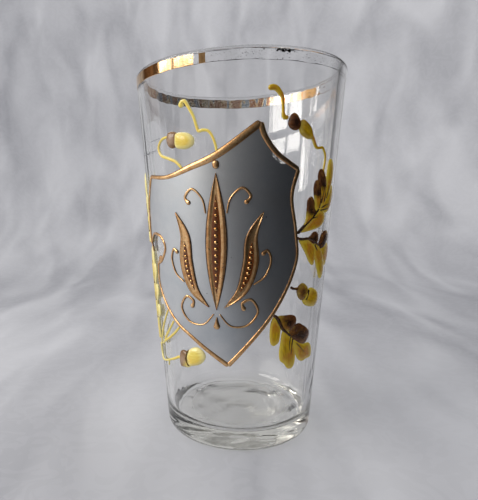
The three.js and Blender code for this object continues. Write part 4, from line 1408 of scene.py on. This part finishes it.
def addAcorn(name, side):
    # cup and nut are two pads, rounder than a leaf's, and the mouth is a dark stroke over the nut
    a = acorns[name]
    cupParts = [padPart(a["cup"], enamelLine["cupRise"], a["cupTones"], rings=12, power=2.2)]
    nut = padPart(a["nut"], enamelLine["nutRise"], a["nutTones"], rings=12, edgeShare=0.1, power=2.2)
    nutParts = [nut]
    if a["mouth"]:
        path = smoothLine(a["mouth"], 0.16)
        widths = tapered(path, 0.55, 0.4, 0.22, 0.2, 0.16)
        nutParts.append(stroke(path, widths, enamelLine["cupRise"] + 0.1, sections=8, slot=1))
    addPiece(f"{name}_cup_enamel", cupParts, [raisedEnamel[side]], [f"{name}_cup"])
    materials = [raisedEnamel[side], veinEnamel[side]]
    addPiece(f"{name}_nut_enamel", nutParts, materials, [f"{name}_nut"])


addStem("acorn_top_left_stem", "left")
addAcorn("acorn_top_left", "left")
addStem("tendril_top_left", "left", knob=1.6)
addStem("acorn_bottom_left_stem", "left")
addAcorn("acorn_bottom_left", "left")
addStem("left_forked_stem", "left")
addLeaf("leaf_lower_left", "left", 0)
addLeaf("leaf_upper_left", "left", 0)
addStem("tendril_top_right", "right")
addAcorn("acorn_top_right", "right")
addStem("acorn_top_right_tail", "right")
addLeaf("leaf_upper_right", "right", 1)
addLeaf("leaf_middle_right", "right", 1)
addStem("acorn_right_stem", "right", tone=0.8)
addAcorn("acorn_right", "right")
addLeaf("leaf_lower_right", "right", 1)
print("stage: leaves, acorns and tendrils")


# Filling line, etched into the glass

# Acid-etched: matt white-grey, so thin that the glass shows through it.
etchedLines = {
    "lines": (
        [(-59, 126.6), (-52, 126.4), (-45, 126.5), (-38, 126.7)],
        [(-43, 130.4), (-39, 130.6), (-35, 131)],
    ),
    "half": 0.16,
    "rise": 0.012,
    "grain": 0.5,
    "dark": "#606368",
    "pale": "#9EA0A5",
}


def etchedMaterial(e):
    # the paler the grain, the more of the clear glass shows through it
    material, tree = newMaterial("etchedGlass")
    place = addNode(tree, "TexCoord")["Object"]
    fine = {"Vector": place, "Scale": scaleOf(e["grain"]), "Detail": 3.0, "Roughness": 0.7}
    grain = addNode(tree, "TexNoise", fine)[0]
    colour = addNode(tree, "Mix", {0: grain, 6: e["dark"], 7: e["pale"]}, data_type="RGBA")[2]
    matt = addNode(tree, "BsdfPrincipled", {"Base Color": colour, "Roughness": 0.7, "IOR": 1.45})[0]
    clear = addNode(tree, "BsdfTransparent")[0]
    gaps = addNode(tree, "ValToRGB", {"Fac": grain}, [(0.35, 0.2), (0.65, 0.6)])[0]
    surface = addNode(tree, "MixShader", {0: gaps, 1: matt, 2: clear})[0]
    addNode(tree, "OutputMaterial", {"Surface": surface})
    return material


def etchedParts(e):  # a thin flat stroke along each line
    paths = [smoothLine(line, 0.4) for line in e["lines"]]
    return [stroke(path, e["half"], e["rise"] - sunk / 2, sunk / 2, sections=5) for path in paths]


addPiece("filling_line_etched", etchedParts(etchedLines), [etchedMaterial(etchedLines)], [])
print("stage: filling line")


# Lamps, world, floor and backdrop

window = {  # a tall window to the left of the camera, in two panes
    "panes": ((-58.5, 23), (-83, 18)),  # degrees to the right of the camera, and how wide
    "distance": 0.95,
    "low": 0.31,
    "high": 0.9,
    "radiance": 7.6,
    "gleams": ((-107, 3.5), (-113, 1.6), (-118, 4)),  # bright strips the right side of the glass mirrors
    "gleamRadiance": 8.5,
    "gleamDistance": 0.6,
    "gleamHeights": (0.165, 0.34),
    "colour": (1.0, 0.97, 0.92),  # linear, a little warm
}
room = {
    "pale": "#BDBEC2",  # behind the glass, as the camera and the glass see it
    "fill": 0.62,  # light from all round
    "fillBlue": 1.03,  # and how much more of its blue
    # what shiny things mirror, by the angle from straight behind, over the left and the camera, and back
    "mirrored": (
        (0.0, "#B9B8B6"), (0.14, "#B9B8B6"), (0.165, "#624A34"), (0.235, "#624A34"), (0.25, "#8C8A88"),
        (0.36, "#98928A"), (0.45, "#847E78"), (0.53, "#666668"), (0.6, "#11161D"), (0.78, "#10151C"),
        (0.88, "#404248"), (0.97, "#A9A9AA"),
    ),
}


def paneMaterial(name, colour, radiance, faces):
    # The window as the glass shows it: bright where it is seen after a reflection and through more than
    # so many faces of the glass, clear otherwise.
    material, tree = newMaterial(name)
    path = addNode(tree, "LightPath")
    bounced = addNode(tree, "Math", {0: path["Glossy Depth"], 1: 0.5}, operation="GREATER_THAN")[0]
    through = addNode(tree, "Math", {0: path["Transmission Depth"], 1: faces}, operation="GREATER_THAN")[0]
    seen = addNode(tree, "Math", {0: bounced, 1: through}, operation="MULTIPLY")[0]
    glow = addNode(tree, "Emission", {"Color": (*colour, 1), "Strength": radiance})[0]
    clear = addNode(tree, "BsdfTransparent")[0]
    addNode(tree, "OutputMaterial", {"Surface": addNode(tree, "MixShader", {0: seen, 1: clear, 2: glow})[0]})
    material.cycles.emission_sampling = "NONE"
    return material


def placeUpright(thing, azimuth, distance, height):  # facing the glass, so many degrees round from the front
    a = math.radians(azimuth)
    thing.location = (distance * math.sin(a), -distance * math.cos(a), height)
    thing.rotation_euler = (math.pi / 2, 0, a)
    bpy.context.scene.collection.objects.link(thing)


def addSheet(name, glow, azimuth, wide, distance, low, high):  # an upright rectangle, so many degrees wide
    across, up = distance * math.tan(math.radians(wide / 2)), (high - low) / 2
    mesh = bpy.data.meshes.new(name)
    corners = [(-across, -up, 0), (across, -up, 0), (across, up, 0), (-across, up, 0)]
    mesh.from_pydata(corners, [], [(0, 1, 2, 3)])
    mesh.materials.append(glow)
    sheet = bpy.data.objects.new(name, mesh)
    placeUpright(sheet, azimuth, distance, (low + high) / 2)
    sheet.visible_camera = sheet.visible_diffuse = sheet.visible_glossy = sheet.visible_shadow = False


def addWindow(w):
    # Each pane is a lamp, and a sheet in the same place that only light leaving the glass can meet. So
    # the glass shows the window in its reflections, and none is seen straight through it.
    glow = paneMaterial("windowPane", w["colour"], w["radiance"], 0.5)
    for number, (azimuth, wide) in enumerate(w["panes"]):
        data = bpy.data.lights.new(f"windowLamp{number}", "AREA")
        data.shape = "RECTANGLE"
        data.size = 2 * w["distance"] * math.tan(math.radians(wide / 2))
        data.size_y = w["high"] - w["low"]
        data.color = w["colour"]
        data.energy = w["radiance"] * math.pi * data.size * data.size_y
        lamp = bpy.data.objects.new(f"windowLamp{number}", data)
        placeUpright(lamp, azimuth, w["distance"], (w["low"] + w["high"]) / 2)
        lamp.visible_transmission = False
        addSheet(f"windowSheet{number}", glow, azimuth, wide, w["distance"], w["low"], w["high"])
    gleam = paneMaterial("gleam", w["colour"], w["gleamRadiance"], 2.5)
    for number, (azimuth, wide) in enumerate(w["gleams"]):
        addSheet(f"gleamSheet{number}", gleam, azimuth, wide, w["gleamDistance"], *w["gleamHeights"])


def addWorld(r):
    # Straight through the glass the room is pale; what has bounced off something shows its lit and its
    # dark sides.
    world = bpy.data.worlds.new("room")
    bpy.context.scene.world = world
    world.use_nodes = True
    tree = world.node_tree
    tree.nodes.clear()
    path = addNode(tree, "LightPath")
    split = addNode(tree, "SeparateXYZ", {"Vector": addNode(tree, "TexCoord")["Generated"]})
    back = addNode(tree, "Math", {0: split["Y"], 1: -1.0}, operation="MULTIPLY")[0]
    angle = addNode(tree, "Math", {0: split["X"], 1: back}, operation="ARCTAN2")[0]
    turn = addNode(tree, "Math", {0: angle, 1: 0.5 / math.pi, 2: 0.5}, operation="MULTIPLY_ADD")[0]
    bounced = addNode(tree, "Math", {0: path["Glossy Depth"], 1: 0.5}, operation="GREATER_THAN")[0]
    mirrored = addNode(tree, "ValToRGB", {"Fac": turn}, r["mirrored"])[0]
    seen = addNode(tree, "Mix", {0: bounced, 6: r["pale"], 7: mirrored}, data_type="RGBA")[2]
    fill = (r["fill"], r["fill"], r["fill"] * r["fillBlue"], 1)
    filled = addNode(tree, "Mix", {0: path["Is Diffuse Ray"], 6: seen, 7: fill}, data_type="RGBA")[2]
    background = addNode(tree, "Background", {"Color": filled, "Strength": 1.0})[0]
    addNode(tree, "OutputWorld", {"Surface": background})


cloth = {
    "colour": "#CDCED2",
    # painted shade in the folds of the cloth
    "shade": "#AFB0B5",
    "reach": 1.6,
    "curveFrom": 0.42,  # where the cloth starts to rise behind the glass, in metres
    "curve": 0.22,
    "fold": 3.6,  # height of the soft folds, in millimetres
    "foldSize": 45.0,
    "damask": 16.0,
    "weave": 1.0,  # far coarser than linen, so that it shows at all
    "figure": "#E2E3E8",
    "dark": "#121317",  # the unlit floor past the cloth, as shiny things mirror it
    "lit": "#D3D4D7",  # the cloth near the window, as shiny things mirror it
    "past": (0.77, -0.64, 0.0),  # the way to the right of the camera, in which both are measured
    "darkWhere": (0.06, 0.15),  # metres from the middle: where it starts, and where it is full
    "litWhere": (-0.025, -0.15),
    "brown": "#624A34",  # the brown side of the room, as the gold mirrors it
    "brownFrom": 0.2,  # metres up
    "brownWhere": [(0.15, 0.0), (0.165, 1.0), (0.225, 1.0), (0.24, 0.0)],  # shares of a turn from behind
}


def clothMaterial(c):
    # Pale bed linen: matt, with slow folds painted grey as their shade, a faint damask pattern and a weave
    # too fine to show.
    material, tree = newMaterial("paleLinen")
    place = addNode(tree, "TexCoord")["Object"]
    turned = {"Vector": place, "Rotation": (0.5, 0.5, 0.6), "Scale": (1.0, 0.3, 0.45)}
    drawn = addNode(tree, "Mapping", turned)[0]
    broad = {"Vector": drawn, "Scale": scaleOf(c["foldSize"]), "Detail": 1.5, "Roughness": 0.45}
    folds = addNode(tree, "TexNoise", {**broad, "Distortion": 0.5})[0]
    woven = {"Vector": place, "Scale": scaleOf(c["damask"]), "Detail": 1.0, "Roughness": 0.4}
    damask = addNode(tree, "TexNoise", {**woven, "Distortion": 2.5})[0]
    weave = addNode(tree, "TexNoise", {"Vector": place, "Scale": scaleOf(c["weave"])})[0]
    # painted shade: the same noise that bends the folds darkens them
    shaded = addNode(tree, "ValToRGB", {"Fac": folds}, [(0.32, 0.0), (0.68, 1.0)])[0]
    figured = addNode(tree, "ValToRGB", {"Fac": damask}, [(0.49, 0.0), (0.53, 0.06)])[0]
    # past is how far a point lies to the right of the camera; what mirrors the cloth sees it dark there
    past = addNode(tree, "VectorMath", {0: place, 1: c["past"]}, operation="DOT_PRODUCT")["Value"]
    sides = {}
    for side in ("dark", "lit"):
        start, full = c[side + "Where"]
        share = {0: past, 1: 1 / (full - start), 2: -start / (full - start)}
        sides[side] = addNode(tree, "Math", share, operation="MULTIPLY_ADD", use_clamp=True)[0]
    split = addNode(tree, "SeparateXYZ", {"Vector": place})
    left = addNode(tree, "Math", {0: split["X"], 1: -1.0}, operation="MULTIPLY")[0]
    turn = addNode(tree, "Math", {0: left, 1: split["Y"]}, operation="ARCTAN2")[0]
    turn = addNode(tree, "Math", {0: turn, 1: 0.5 / math.pi}, operation="MULTIPLY")[0]
    beside = addNode(tree, "ValToRGB", {"Fac": turn}, c["brownWhere"])[0]
    above = addNode(tree, "Math", {0: split["Z"], 1: c["brownFrom"]}, operation="GREATER_THAN")[0]
    sides["brown"] = addNode(tree, "Math", {0: beside, 1: above}, operation="MULTIPLY")[0]
    path = addNode(tree, "LightPath")
    bounced = addNode(tree, "Math", {0: path["Glossy Depth"], 1: 0.5}, operation="GREATER_THAN")[0]
    colour = addNode(tree, "Mix", {0: shaded, 6: c["colour"], 7: c["shade"]}, data_type="RGBA")[2]
    colour = addNode(tree, "Mix", {0: figured, 6: colour, 7: c["figure"]}, data_type="RGBA")[2]
    for side, where in sides.items():
        share = addNode(tree, "Math", {0: where, 1: bounced}, operation="MULTIPLY")[0]
        colour = addNode(tree, "Mix", {0: share, 6: colour, 7: c[side]}, data_type="RGBA")[2]
    weave = addNode(tree, "Math", {0: weave, 1: 0.02}, operation="MULTIPLY")[0]
    height = addNode(tree, "Math", {0: folds, 1: c["fold"], 2: weave}, operation="MULTIPLY_ADD")[0]
    surface = addNode(tree, "BsdfPrincipled", {
        "Base Color": colour,
        "Normal": addNode(tree, "Bump", {"Height": height, "Distance": mm, "Strength": 1.0})["Normal"],
        "Roughness": 0.9,
        "Specular IOR Level": 0.2,
    })[0]
    addNode(tree, "OutputMaterial", {"Surface": surface})
    return material


def addCloth(c):
    # A round cloth, turned through all angles. Going out it is flat, then rises along a quarter circle
    # and a wall, by a share that is 1 straight behind the glass and falls to 0 towards its sides.
    flat, risen = np.linspace(0.02, c["curveFrom"], 24), np.linspace(c["curveFrom"], c["reach"], 70)
    out = np.concatenate([flat, risen[1:]])
    angle = np.linspace(-math.pi, math.pi, 180, endpoint=False)
    share = np.clip((np.cos(angle) + 0.15) / 0.75, 0, 1)
    share = share**2 * (3 - 2 * share)
    past = np.maximum(out - c["curveFrom"], 0)
    turned = np.minimum(past / c["curve"], math.pi / 2)
    radius = np.minimum(out, c["curveFrom"]) + c["curve"] * np.sin(turned)
    height = c["curve"] * (1 - np.cos(turned)) + np.maximum(past - c["curve"] * math.pi / 2, 0)
    r = radius[:, None] * share + out[:, None] * (1 - share)
    z = height[:, None] * share - 0.0001
    points = np.stack([r * np.sin(angle), r * np.cos(angle), z], -1).reshape(-1, 3)
    faces = gridQuads(len(out), len(angle), closeColumns=True)
    points = np.concatenate([points, [[0, 0, -0.0001]]])
    fan = fanTriangles(len(points) - 1, 0, len(angle), False)
    mesh = bpy.data.meshes.new("linenFloor")
    mesh.from_pydata(points.tolist(), [], faces.tolist() + fan.tolist())
    mesh.shade_smooth()
    mesh.materials.append(clothMaterial(c))
    floor = bpy.data.objects.new("linenFloor", mesh)
    bpy.context.scene.collection.objects.link(floor)


addWindow(window)
addWorld(room)
addCloth(cloth)
print("stage: lamps, world and cloth")
